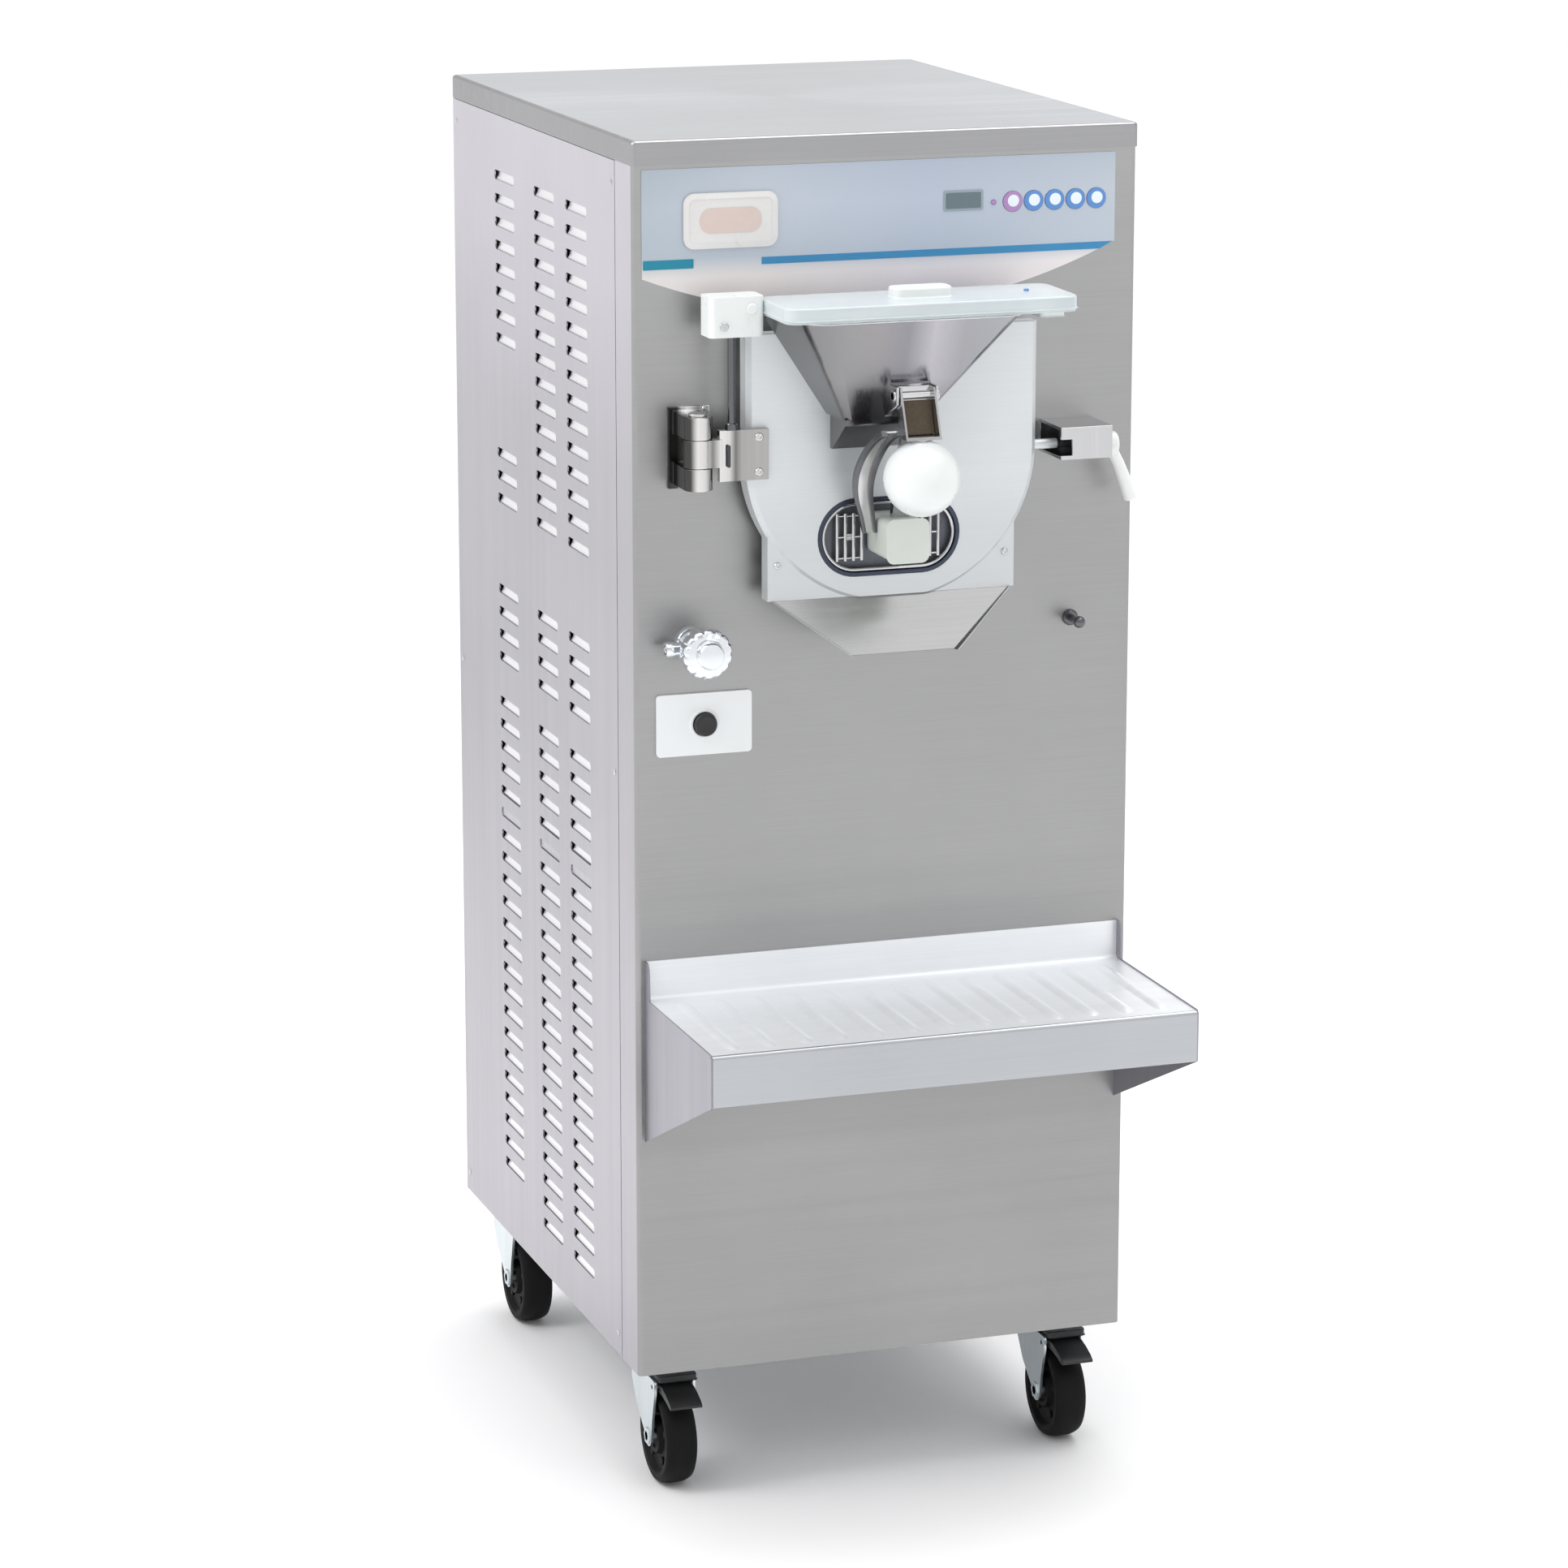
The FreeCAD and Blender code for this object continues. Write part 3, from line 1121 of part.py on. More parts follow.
def tap_body():
    """Through-panel tap with a collar, a stem and a side nozzle."""
    barrel = rod(d.tap_radius, (d.tap_x, ahead(d.tap_knob_back - 2), d.tap_z), "Y",
                 d.tap_knob_back - 2 + 30)
    collar = rod(d.tap_collar, (d.tap_x, ahead(d.tap_collar_thick), d.tap_z), "Y", d.tap_collar_thick)
    stem = rod(d.tap_stem, (d.tap_x, ahead(d.tap_knob_face - 5), d.tap_z), "Y", 30)
    nozzle = rod(d.nozzle_radius, (d.nozzle_left, ahead(d.nozzle_y), d.tap_z), "X",
                 d.tap_x - d.nozzle_left)
    return fuse(barrel, collar, stem, nozzle)


def tap_knob():
    """Round knob with a smaller cap on its face."""
    disc = rod(d.tap_knob_radius, (d.tap_x, ahead(d.tap_knob_face), d.tap_z), "Y",
               d.tap_knob_face - d.tap_knob_back)
    cap = rod(d.tap_cap_radius, (d.tap_x, ahead(d.tap_cap_face), d.tap_z), "Y",
              d.tap_cap_face - d.tap_knob_face)
    bore = rod(d.tap_stem + d.running, (d.tap_x, ahead(d.tap_knob_face - 4.5), d.tap_z), "Y", 30)
    return cut(fuse(disc, cap), bore)


button_centre = ((d.plate_left + d.plate_right) / 2, (d.plate_low + d.plate_high) / 2)
node("tap_body", tap_body())
node("tap_knob", tap_knob())
node("switch_plate", plate_xz(ahead(d.plate_thick), front,
                              rounded(d.plate_left, d.plate_low, d.plate_right, d.plate_high,
                                      d.plate_corner),
                              circle(*button_centre, d.button_hole)))
node("push_button", rod(d.button_radius, (button_centre[0], ahead(d.button_front), button_centre[1]),
                        "Y", d.button_front + d.button_back))
node("hose_hook", fuse(rod(d.hook_base, (d.hook_x, ahead(4), d.hook_z), "Y", 4),
                       rod(d.hook_radius, (d.hook_x, ahead(d.hook_reach), d.hook_z), "Y", d.hook_reach),
                       ball(d.hook_tip, (d.hook_x, ahead(d.hook_reach), d.hook_z))))

# ---------------------------------------------------------------- shelf


def shelf():
    """Folded shelf with an upstand, a front lip, raised ribs and two gussets."""
    lip_front = ahead(d.shelf_reach)
    lip_low = d.shelf_top - d.shelf_lip
    top = block((-d.shelf_half, lip_front, d.shelf_top - d.shelf_sheet),
                (d.shelf_half, front, d.shelf_top))
    upstand = block((-d.shelf_half, ahead(d.shelf_sheet), d.shelf_top - d.shelf_sheet),
                    (d.shelf_half, front, d.shelf_upstand))
    lip = block((-d.shelf_half, lip_front, lip_low),
                (d.shelf_half, lip_front + d.shelf_sheet, d.shelf_top))
    fold = block((-d.shelf_half, lip_front, lip_low),
                 (d.shelf_half, lip_front + d.shelf_return, lip_low + d.shelf_sheet))
    outline = poly((front, d.gusset_low), (front, d.shelf_upstand),
                   (ahead(10), d.shelf_upstand), (ahead(14), d.shelf_top),
                   (lip_front, d.shelf_top), (lip_front, lip_low))
    gussets = [plate_yz(-d.shelf_half - d.gusset, -d.shelf_half, outline),
               plate_yz(d.shelf_half, d.shelf_half + d.gusset, outline)]
    ribs = []
    for i in range(-6, 7):
        start = (d.rib_pitch * i, ahead(d.rib_front), d.shelf_top + d.rib_crown - d.rib_radius)
        ribs.append(rod(d.rib_radius, start, "Y", d.rib_front - d.rib_back))
    crown = block((-d.shelf_half, lip_front, d.shelf_top - 1),
                  (d.shelf_half, front, d.shelf_top + d.rib_crown + 1))
    return fuse(top, upstand, lip, fold, *gussets, common(fuse(*ribs), crown))


node("shelf", shelf())

# ---------------------------------------------------------------- rear fittings


def rear_fittings():
    """Two threaded water couplings and the cable gland, on the rear panel."""
    parts = []
    for x in (-d.fitting_x, d.fitting_x):
        stub = tube(d.fitting_radius, d.fitting_radius - 4, (x, back, d.fitting_z), "Y", d.rear_reach)
        collar = tube(d.fitting_radius + 4, d.fitting_radius - 4, (x, back, d.fitting_z), "Y", 4)
        parts.append(fuse(stub, collar))
    gland = tube(d.gland_radius + 3, d.gland_radius - 5, (d.gland_x, back, d.fitting_z), "Y", 6)
    nut = tube(d.gland_radius, d.gland_radius - 5, (d.gland_x, back + 6, d.fitting_z), "Y",
               d.rear_reach - 6)
    parts.append(fuse(gland, nut))
    return group(*parts)


node("rear_fittings", rear_fittings())

# ---------------------------------------------------------------- casters

CASTERS = {
    "front_left": (-1, d.caster_front), "front_right": (1, d.caster_front),
    "rear_left": (-1, d.caster_rear), "rear_right": (1, d.caster_rear),
}


def caster_plates():
    """The four fixed top plates with their swivel heads and kingpin bores."""
    plates = []
    for side, depth in CASTERS.values():
        x = side * d.caster_x
        y = behind(depth)
        top = block((x - d.plate_half, y - d.plate_half, d.cabinet_bottom - d.caster_plate),
                    (x + d.plate_half, y + d.plate_half, d.cabinet_bottom))
        head = rod(d.head_radius, (x, y, d.head_low), "Z",
                   d.cabinet_bottom - d.caster_plate - d.head_low)
        bore = rod(d.kingpin + d.running, (x, y, d.head_low - 1), "Z", 12)
        plates.append(cut(fuse(top, head), bore))
    return group(*plates)


def caster_fork(side, depth, braked):
    """Swivel disc with two cheeks, the kingpin, the wheel's axle and a pedal pin."""
    x = side * d.caster_x
    y = behind(depth)
    wheel_y = y - d.caster_trail
    disc = rod(d.disc_radius, (x, y, d.disc_low), "Z", d.head_low - d.disc_gap - d.disc_low)
    pin = rod(d.kingpin, (x, y, d.disc_low), "Z", d.head_low - d.disc_low + 10)
    outline = poly((y + 24, d.disc_low + 2), (y - 52, d.disc_low + 2), (y - 52, d.disc_low - 10),
                   (wheel_y - 11, d.wheel_radius - 9), (wheel_y + 11, d.wheel_radius - 9),
                   (y + 24, d.disc_low - 20))
    cheeks = [plate_yz(x - d.cheek_outer, x - d.cheek_inner, outline),
              plate_yz(x + d.cheek_inner, x + d.cheek_outer, outline)]
    axle = rod(d.axle_radius, (x - d.cheek_outer - 2, wheel_y, d.wheel_radius), "X",
               d.cheek_outer * 2 + 4)
    cross = [rod(d.pedal_pin, (x - d.cheek_outer, y - d.pedal_pivot, d.pedal_axis), "X",
                 d.cheek_outer * 2)] if braked else []
    return fuse(disc, pin, *cheeks, axle, *cross)


def caster_wheel(side, depth):
    """Wheel with a wide tread, bevelled shoulders and a bore on the axle."""
    x = side * d.caster_x
    y = behind(depth) - d.caster_trail
    z = d.wheel_radius
    tread = rod(d.wheel_radius, (x - d.wheel_half + 3, y, z), "X", d.wheel_half * 2 - 6)
    shoulders = [cone(d.wheel_radius - 5, d.wheel_radius, (x - d.wheel_half, y, z), "X", 3),
                 cone(d.wheel_radius, d.wheel_radius - 5, (x + d.wheel_half - 3, y, z), "X", 3)]
    bore = rod(d.axle_radius + d.running, (x - d.wheel_half - 1, y, z), "X", d.wheel_half * 2 + 2)
    return cut(fuse(tread, *shoulders), bore)


def brake_pedal(side, depth):
    """Foot pedal above the wheel, on its own cross pin between the cheeks."""
    x = side * d.caster_x
    y = behind(depth)
    outline = poly((y - d.pedal_start, d.pedal_low), (y - d.pedal_end + 30, d.pedal_low),
                   (y - d.pedal_end, d.pedal_low - 6), (y - d.pedal_end, d.pedal_low - 1),
                   (y - d.pedal_end + 28, d.pedal_high), (y - d.pedal_start, d.pedal_high))
    bore = rod(d.pedal_pin + d.running, (x - d.cheek_outer, y - d.pedal_pivot, d.pedal_axis), "X",
               d.cheek_outer * 2)
    return cut(plate_yz(x - d.pedal_half, x + d.pedal_half, outline), bore)


node("caster_plates", caster_plates())
for place, (side, depth) in CASTERS.items():
    braked = place.startswith("front")
    node(f"caster_fork_{place}", caster_fork(side, depth, braked))
    node(f"caster_wheel_{place}", caster_wheel(side, depth))
    if braked:
        node(f"brake_pedal_{place[6:]}", brake_pedal(side, depth))

# ---------------------------------------------------------------- check and write

doc.recompute()
for obj in doc.Objects:
    if "Invalid" in obj.State or "Error" in obj.State:
        raise RuntimeError(f"{obj.Name} ({obj.Label}) failed: {obj.State}")
os.makedirs("parts", exist_ok=True)
for label, obj in nodes.items():
    shape = obj.Shape
    if shape.isNull() or not shape.isValid() or not shape.Solids:
        raise RuntimeError(f"{label} has no valid solid")
    shape.exportStep(f"parts/{label}.step")
print(f"{len(nodes)} pieces written")
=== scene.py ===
import json
import math

import bmesh
import bpy
from mathutils import Euler, Matrix, Vector


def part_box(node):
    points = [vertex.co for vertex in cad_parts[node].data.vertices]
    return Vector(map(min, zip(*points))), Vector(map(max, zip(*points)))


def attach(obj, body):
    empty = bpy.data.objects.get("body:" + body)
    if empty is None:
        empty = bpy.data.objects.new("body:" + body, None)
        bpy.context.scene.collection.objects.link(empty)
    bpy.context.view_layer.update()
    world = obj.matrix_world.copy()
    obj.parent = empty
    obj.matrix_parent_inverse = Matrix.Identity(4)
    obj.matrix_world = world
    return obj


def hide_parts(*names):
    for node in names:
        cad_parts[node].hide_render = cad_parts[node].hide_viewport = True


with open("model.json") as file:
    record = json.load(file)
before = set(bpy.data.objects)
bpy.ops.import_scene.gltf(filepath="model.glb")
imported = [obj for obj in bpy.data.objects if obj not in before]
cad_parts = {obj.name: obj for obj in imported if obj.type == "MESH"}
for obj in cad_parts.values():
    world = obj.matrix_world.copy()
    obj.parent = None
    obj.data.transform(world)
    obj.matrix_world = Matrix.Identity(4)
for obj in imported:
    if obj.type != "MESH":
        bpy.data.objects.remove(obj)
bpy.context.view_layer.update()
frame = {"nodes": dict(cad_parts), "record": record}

MM = 0.001
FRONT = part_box("front_panel")[0].y  # the cabinet's front face


def box_mm(node):
    """A node's corners in millimetres, with Y counted from the cabinet's front face."""
    low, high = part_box(node)
    return [Vector((c.x / MM, (c.y - FRONT) / MM, c.z / MM)) for c in (low, high)]


def centre_mm(node):
    low, high = box_mm(node)
    return (low + high) / 2


# ---- materials

MATERIALS = {}


def tree_of(name):
    """A new material's node tree and its shader."""
    material = bpy.data.materials.new(name)
    material.use_nodes = True
    MATERIALS[name] = material
    return material.node_tree, material.node_tree.nodes["Principled BSDF"]


def link(tree, source, target):
    tree.links.new(source, target)


def fill(node, **values):
    """Set a node's inputs; an underscore in a name stands for a space."""
    for name, value in values.items():
        node.inputs[name.replace("_", " ")].default_value = value


def added(tree, kind, **values):
    """A new shader node with its inputs set."""
    node = tree.nodes.new(f"ShaderNode{kind}")
    fill(node, **values)
    return node


def coords(tree, scale=(1, 1, 1)):
    """Place on a piece in metres, scaled."""
    mapping = added(tree, "Mapping", Scale=scale)
    link(tree, added(tree, "TexCoord").outputs["Object"], mapping.inputs["Vector"])
    return mapping.outputs["Vector"]


def noise(tree, vector, scale, detail, rough):
    node = added(tree, "TexNoise", Scale=scale, Detail=detail, Roughness=rough)
    link(tree, vector, node.inputs["Vector"])
    return node.outputs["Fac"]


def ramp(tree, fac, stops):
    node = added(tree, "ValToRGB")
    element = node.color_ramp.elements
    while len(element) < len(stops):
        element.new(0.5)
    for item, (place, colour) in zip(element, stops):
        item.position = place
        item.color = (*colour, 1.0)
    link(tree, fac, node.inputs["Fac"])
    return node.outputs["Color"]


def fade(tree, fac, level, low=0.3, high=0.7):
    """From a grey level up to white between two noise values."""
    return ramp(tree, fac, ((low, (level,) * 3), (high, (1, 1, 1))))


def mottled(tree, fac, colour, contrast):
    """A colour made darker and lighter by a noise value."""
    dark, light = (tuple(min(1.0, c * factor) for c in colour)
                   for factor in (1 - contrast, 1 + contrast))
    return ramp(tree, fac, ((0.3, dark), (0.7, light)))


def spread(tree, fac, low, high):
    """A noise value stretched over a range."""
    node = added(tree, "MapRange", From_Min=0.3, From_Max=0.7, To_Min=low, To_Max=high)
    link(tree, fac, node.inputs["Value"])
    return node.outputs["Result"]


def multiply(tree, shade, *others):
    """Two or more shades, one darkened by the next."""
    for other in others:
        node = added(tree, "Mix")
        node.data_type = "RGBA"
        node.blend_type = "MULTIPLY"
        node.inputs[0].default_value = 1.0
        link(tree, shade, node.inputs[6])
        link(tree, other, node.inputs[7])
        shade = node.outputs[2]
    return shade


def bump(tree, fac, strength, distance):
    node = added(tree, "Bump", Strength=strength, Distance=distance)
    link(tree, fac, node.inputs["Height"])
    return node.outputs["Normal"]


def between(tree, axis, low, high):
    """How far a place lies between two levels of an axis in metres, from 0 to 1."""
    place = added(tree, "SeparateXYZ")
    link(tree, coords(tree), place.inputs["Vector"])
    reach = added(tree, "MapRange", From_Min=low, From_Max=high)
    link(tree, place.outputs[axis], reach.inputs["Value"])
    return reach.outputs["Result"]


def gradient(tree, axis, low, high, stops):
    """Grey levels along one axis between two places in metres."""
    return ramp(tree, between(tree, axis, low, high), [(spot, (grey,) * 3) for spot, grey in stops])


def surface(tree, shader, shade, rough, relief, **values):
    """Wire a shader's colour, roughness (fac, low, high) and relief (fac, strength, depth)."""
    link(tree, shade, shader.inputs["Base Color"])
    link(tree, spread(tree, *rough), shader.inputs["Roughness"])
    link(tree, bump(tree, *relief), shader.inputs["Normal"])
    fill(shader, **values)


def brushed(name, colour, rough, along, grain, contrast, metallic=1.0, painted_light=()):
    """Ground sheet steel: fine lines along one axis and soft clouds; the last argument is (axis, low,
    high, stops), painted light and shade: a slow change of brightness between two levels in metres."""
    tree, shader = tree_of(name)
    stretch = {"x": (0.01, 1, 1), "y": (1, 0.01, 1), "z": (1, 1, 0.01)}[along]
    lines = noise(tree, coords(tree, stretch), grain, 5.0, 0.7)
    coarse = noise(tree, coords(tree, stretch), grain / 12, 3.0, 0.6)
    clouds = noise(tree, coords(tree), 5.0, 3.0, 0.5)
    shades = [mottled(tree, lines, colour, contrast), fade(tree, coarse, 1 - contrast, 0.35, 0.65),
              fade(tree, clouds, 0.94)]
    # painted light and shade: a slow change of brightness along one axis
    if painted_light:
        shades.append(gradient(tree, *painted_light))
    surface(tree, shader, multiply(tree, *shades), (coarse, rough * 0.85, rough * 1.15),
            (lines, 0.06, 0.0002), Metallic=metallic, Anisotropic=0.3)


def moulded(name, colour, rough, grain, contrast, coat=0.0, bump_strength=0.05, metallic=0.0,
            specular=0.5):
    """Moulded plastic, paint, rubber or cast metal: fine texture and soft unevenness."""
    tree, shader = tree_of(name)
    fine = noise(tree, coords(tree), grain, 4.0, 0.6)
    clouds = noise(tree, coords(tree), 14.0, 4.0, 0.55)
    shade = multiply(tree, mottled(tree, clouds, colour, contrast), fade(tree, fine, 1 - contrast))
    surface(tree, shader, shade, (clouds, rough * 0.85, rough * 1.15),
            (fine, bump_strength, 0.0002), Metallic=metallic, Coat_Weight=coat,
            Specular_IOR_Level=specular)


def fascia_film():
    """Printed film: a pale blue field that fades across the panel."""
    tree, shader = tree_of("fascia_film")
    across = ramp(tree, between(tree, "X", -0.26, 0.24), (
        (0.0, (0.70, 0.79, 0.86)), (0.25, (0.84, 0.92, 1.0)), (0.6, (0.76, 0.85, 0.99)),
        (1.0, (0.81, 0.90, 0.98))))
    upwards = ramp(tree, between(tree, "Z", 1.2, 1.35), (
        (0.0, (1.0, 0.84, 0.76)), (0.30, (0.98, 0.84, 0.76)), (0.42, (0.59, 0.60, 0.62)),
        (0.75, (0.62, 0.62, 0.64)), (1.0, (0.55, 0.56, 0.58))))
    grain = noise(tree, coords(tree), 1800.0, 3.0, 0.6)
    surface(tree, shader, multiply(tree, across, upwards, fade(tree, grain, 0.96)),
            (grain, 0.30, 0.40), (grain, 0.05, 0.0001), Metallic=0.15)


def hopper_steel():
    """Polished funnel steel with broad upright bands of painted reflection, darker towards the bottom
    as painted shade.
    """
    tree, shader = tree_of("hopper_steel")
    # painted reflections: upright light and dark bands across the funnel
    painted_reflection_bands = ramp(tree, between(tree, "X", -0.14, 0.12), (
        (0.0, (0.20, 0.20, 0.20)), (0.22, (0.28, 0.28, 0.29)), (0.34, (0.30, 0.29, 0.30)),
        (0.46, (0.26, 0.26, 0.28)), (0.56, (0.44, 0.43, 0.46)), (0.68, (0.33, 0.33, 0.35)),
        (1.0, (0.36, 0.38, 0.40))))
    lines = noise(tree, coords(tree, (1, 1, 0.01)), 500.0, 5.0, 0.7)
    # painted shade: the funnel darker towards the bottom
    depth = gradient(tree, "Z", 1.08, 1.21, ((0.0, 0.55), (0.25, 0.55), (0.55, 0.95), (1.0, 1.0)))
    surface(tree, shader, multiply(tree, painted_reflection_bands, fade(tree, lines, 0.93), depth),
            (lines, 0.17, 0.26), (lines, 0.05, 0.0002), Metallic=1.0)


def clear_lid():
    """Milky translucent plastic with a fine moulded haze."""
    tree, shader = tree_of("clear_lid")
    clouds = noise(tree, coords(tree), 20.0, 3.0, 0.5)
    fine = noise(tree, coords(tree), 900.0, 3.0, 0.5)
    shade = ramp(tree, clouds, ((0.3, (0.80, 0.88, 0.91)), (0.7, (0.88, 0.94, 0.95))))
    surface(tree, shader, shade, (fine, 0.14, 0.24), (fine, 0.03, 0.0001),
            Transmission_Weight=0.45, IOR=1.46)


# painted shade: the front panel darker towards the bottom and darkest just under the shelf, where its
# shadow falls; lighter towards the top
brushed("sheet_steel", (0.42, 0.42, 0.42), 0.38, "x", 700.0, 0.03,
        painted_light=("Z", 0.13, 1.36, ((0.0, 0.80), (0.18, 0.80), (0.26, 0.68), (0.34, 0.88), (0.8, 0.93),
                                (1.0, 1.0))))
# painted light: the side panels lighter towards the top
brushed("side_steel", (0.65, 0.635, 0.68), 0.36, "z", 700.0, 0.03,
        painted_light=("Z", 0.13, 1.36, ((0.0, 0.70), (0.5, 0.69), (0.75, 0.78), (0.9, 0.95), (1.0, 1.0))))
brushed("lid_steel", (0.60, 0.62, 0.64), 0.34, "x", 700.0, 0.03)
# painted light and shade: the shelf's top a lighter copy of its steel, the lip and cheeks darker
# copies
brushed("shelf_steel_painted_light", (0.90, 0.92, 0.94), 0.34, "x", 600.0, 0.03, metallic=0.5)
brushed("lip_steel_painted_shade", (0.47, 0.485, 0.505), 0.36, "x", 600.0, 0.03)
brushed("cheek_steel_painted_shade", (0.36, 0.35, 0.39), 0.38, "z", 600.0, 0.03)
# painted shade: the lid's rim a darker copy of the lid's steel
brushed("rim_steel_painted_shade", (0.39, 0.39, 0.40), 0.40, "x", 600.0, 0.03)
# painted highlight: the louvre tongues near white, brighter than the side panels' steel
brushed("tab_steel_painted_highlight", (0.92, 0.92, 0.94), 0.30, "y", 500.0, 0.02)
brushed("rod_steel", (0.16, 0.16, 0.17), 0.25, "z", 500.0, 0.06)
# painted shadow for the lever's channel
moulded("lever_shadow", (0.10, 0.075, 0.05), 0.45, 300.0, 0.25, metallic=0.5)
brushed("barrel_steel", (0.70, 0.70, 0.71), 0.30, "y", 500.0, 0.06)
# painted shade: the door darker towards its lower part
brushed("door_satin", (0.74, 0.77, 0.785), 0.42, "x", 900.0, 0.02, metallic=0.5,
        painted_light=("Z", 0.93, 1.21, ((0.0, 0.83), (0.22, 0.86), (0.4, 0.95), (1.0, 1.0))))
brushed("chute_steel", (0.45, 0.45, 0.45), 0.26, "x", 600.0, 0.04)
brushed("polished_steel", (0.62, 0.62, 0.63), 0.16, "z", 500.0, 0.04)
# painted highlights and dark bands of painted shade across the hinge's knuckles and leaf
brushed("hinge_steel", (0.80, 0.79, 0.78), 0.20, "z", 500.0, 0.06,
        painted_light=("X", -0.228, -0.120, ((0.0, 0.05), (0.10, 0.10), (0.15, 1.0), (0.22, 0.9), (0.30, 0.30),
                                    (0.38, 1.0), (0.46, 0.9), (0.52, 0.25), (0.58, 0.54),
                                    (1.0, 0.57))))
brushed("zinc", (0.74, 0.80, 0.82), 0.36, "z", 300.0, 0.08)
brushed("frame_steel", (0.55, 0.56, 0.58), 0.45, "z", 200.0, 0.10)
brushed("condenser_aluminium", (0.66, 0.67, 0.68), 0.40, "x", 400.0, 0.12)
moulded("pulley_iron", (0.22, 0.22, 0.23), 0.45, 300.0, 0.12, metallic=0.9)
moulded("tap_chrome", (0.80, 0.83, 0.86), 0.10, 80.0, 0.03, metallic=1.0, bump_strength=0.01)
moulded("brass", (0.66, 0.50, 0.26), 0.30, 300.0, 0.10, metallic=1.0)
moulded("foam", (0.80, 0.72, 0.50), 0.90, 250.0, 0.10, bump_strength=0.5)
moulded("blade_plastic", (0.62, 0.66, 0.61), 0.40, 500.0, 0.03)
moulded("belt_rubber", (0.03, 0.03, 0.03), 0.75, 500.0, 0.20, bump_strength=0.2)
moulded("motor_paint", (0.13, 0.20, 0.28), 0.45, 400.0, 0.08, coat=0.2)
moulded("compressor_paint", (0.02, 0.02, 0.022), 0.35, 400.0, 0.15, coat=0.3)
moulded("fan_plastic", (0.04, 0.04, 0.045), 0.50, 500.0, 0.10)
moulded("electrical_grey", (0.55, 0.56, 0.55), 0.50, 500.0, 0.05)
moulded("gasket_rubber", (0.70, 0.70, 0.67), 0.60, 500.0, 0.05)
moulded("badge", (0.72, 0.71, 0.70), 0.28, 700.0, 0.03, coat=0.5)
moulded("badge_inlay", (0.66, 0.54, 0.50), 0.35, 700.0, 0.05, coat=0.3)
moulded("white_nylon", (0.78, 0.81, 0.80), 0.30, 600.0, 0.015, coat=0.3)
moulded("grip_plastic", (0.80, 0.81, 0.80), 0.26, 600.0, 0.02, coat=0.3)
moulded("switch_white", (0.80, 0.82, 0.83), 0.35, 600.0, 0.02)
moulded("black_plastic", (0.012, 0.012, 0.013), 0.38, 500.0, 0.25)
moulded("wheel_rubber", (0.006, 0.006, 0.006), 0.60, 500.0, 0.30, bump_strength=0.12, specular=0.15)
moulded("stripe_blue", (0.03, 0.24, 0.48), 0.35, 900.0, 0.03)
moulded("stripe_teal", (0.0, 0.22, 0.33), 0.35, 900.0, 0.03)
moulded("key_blue", (0.10, 0.26, 0.60), 0.35, 900.0, 0.04)
moulded("key_violet", (0.42, 0.24, 0.50), 0.35, 900.0, 0.04)
moulded("key_white", (0.80, 0.87, 0.93), 0.35, 900.0, 0.02)
moulded("display_glass", (0.10, 0.15, 0.18), 0.08, 900.0, 0.05, coat=0.8)
moulded("display_frame", (0.30, 0.37, 0.42), 0.35, 900.0, 0.05)
# painted shade: the wall behind the outlet's bars
moulded("recess_painted_shade", (0.13, 0.14, 0.16), 0.45, 500.0, 0.15, metallic=0.6)
# painted shade: the liner in the outlet's recess
moulded("liner_painted_shade", (0.05, 0.06, 0.09), 0.35, 500.0, 0.15, metallic=0.6)
# painted shade in the hinge arm's slot
moulded("slot_painted_shade", (0.05, 0.05, 0.06), 0.55, 500.0, 0.15)
fascia_film()
hopper_steel()
clear_lid()

# ---- mesh builders


def finish_mesh(bm, bevel, segments, bevel_angle):
    """Merge doubled points and round the sharp edges."""
    bmesh.ops.remove_doubles(bm, verts=bm.verts, dist=0.002)
    bmesh.ops.dissolve_degenerate(bm, edges=bm.edges, dist=0.001)
    if bevel:
        edges = [e for e in bm.edges if len(e.link_faces) == 2
                 and e.calc_face_angle(0) > math.radians(bevel_angle)]
        bmesh.ops.bevel(bm, geom=edges, offset=bevel, offset_type="OFFSET", segments=segments,
                        profile=0.5, affect="EDGES", clamp_overlap=True)
    bmesh.ops.recalc_face_normals(bm, faces=bm.faces)


def piece(name, bm, material, body, stands_for, slot, bevel=0.0, segments=2, sharp=38.0,
          bevel_angle=32.0):
    """Turn a bmesh in millimetres into an object that rides on a body."""
    finish_mesh(bm, bevel, segments, bevel_angle)
    mesh = bpy.data.meshes.new(name)
    bm.to_mesh(mesh)
    bm.free()
    mesh.transform(Matrix.Translation((0, FRONT, 0)) @ Matrix.Scale(MM, 4))
    mesh.polygons.foreach_set("use_smooth", [True] * len(mesh.polygons))
    mesh.set_sharp_from_angle(angle=math.radians(sharp))
    mesh.materials.append(MATERIALS[material])
    obj = bpy.data.objects.new(name, mesh)
    bpy.context.scene.collection.objects.link(obj)
    obj.modifiers.new("normals", "WEIGHTED_NORMAL").keep_sharp = True
    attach(obj, body)
    if stands_for:
        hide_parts(*stands_for)


def block(bm, low, high):
    """A box between two corners."""
    verts = [bm.verts.new((x, y, z)) for x in (low[0], high[0]) for y in (low[1], high[1])
             for z in (low[2], high[2])]
    for face in ((0, 1, 3, 2), (4, 6, 7, 5), (0, 4, 5, 1), (2, 3, 7, 6), (0, 2, 6, 4), (1, 5, 7, 3)):
        bm.faces.new([verts[i] for i in face])
    return bm


AXES = {"x": (1, 2, 0), "y": (0, 2, 1), "z": (0, 1, 2)}  # places of u, v and level in a point


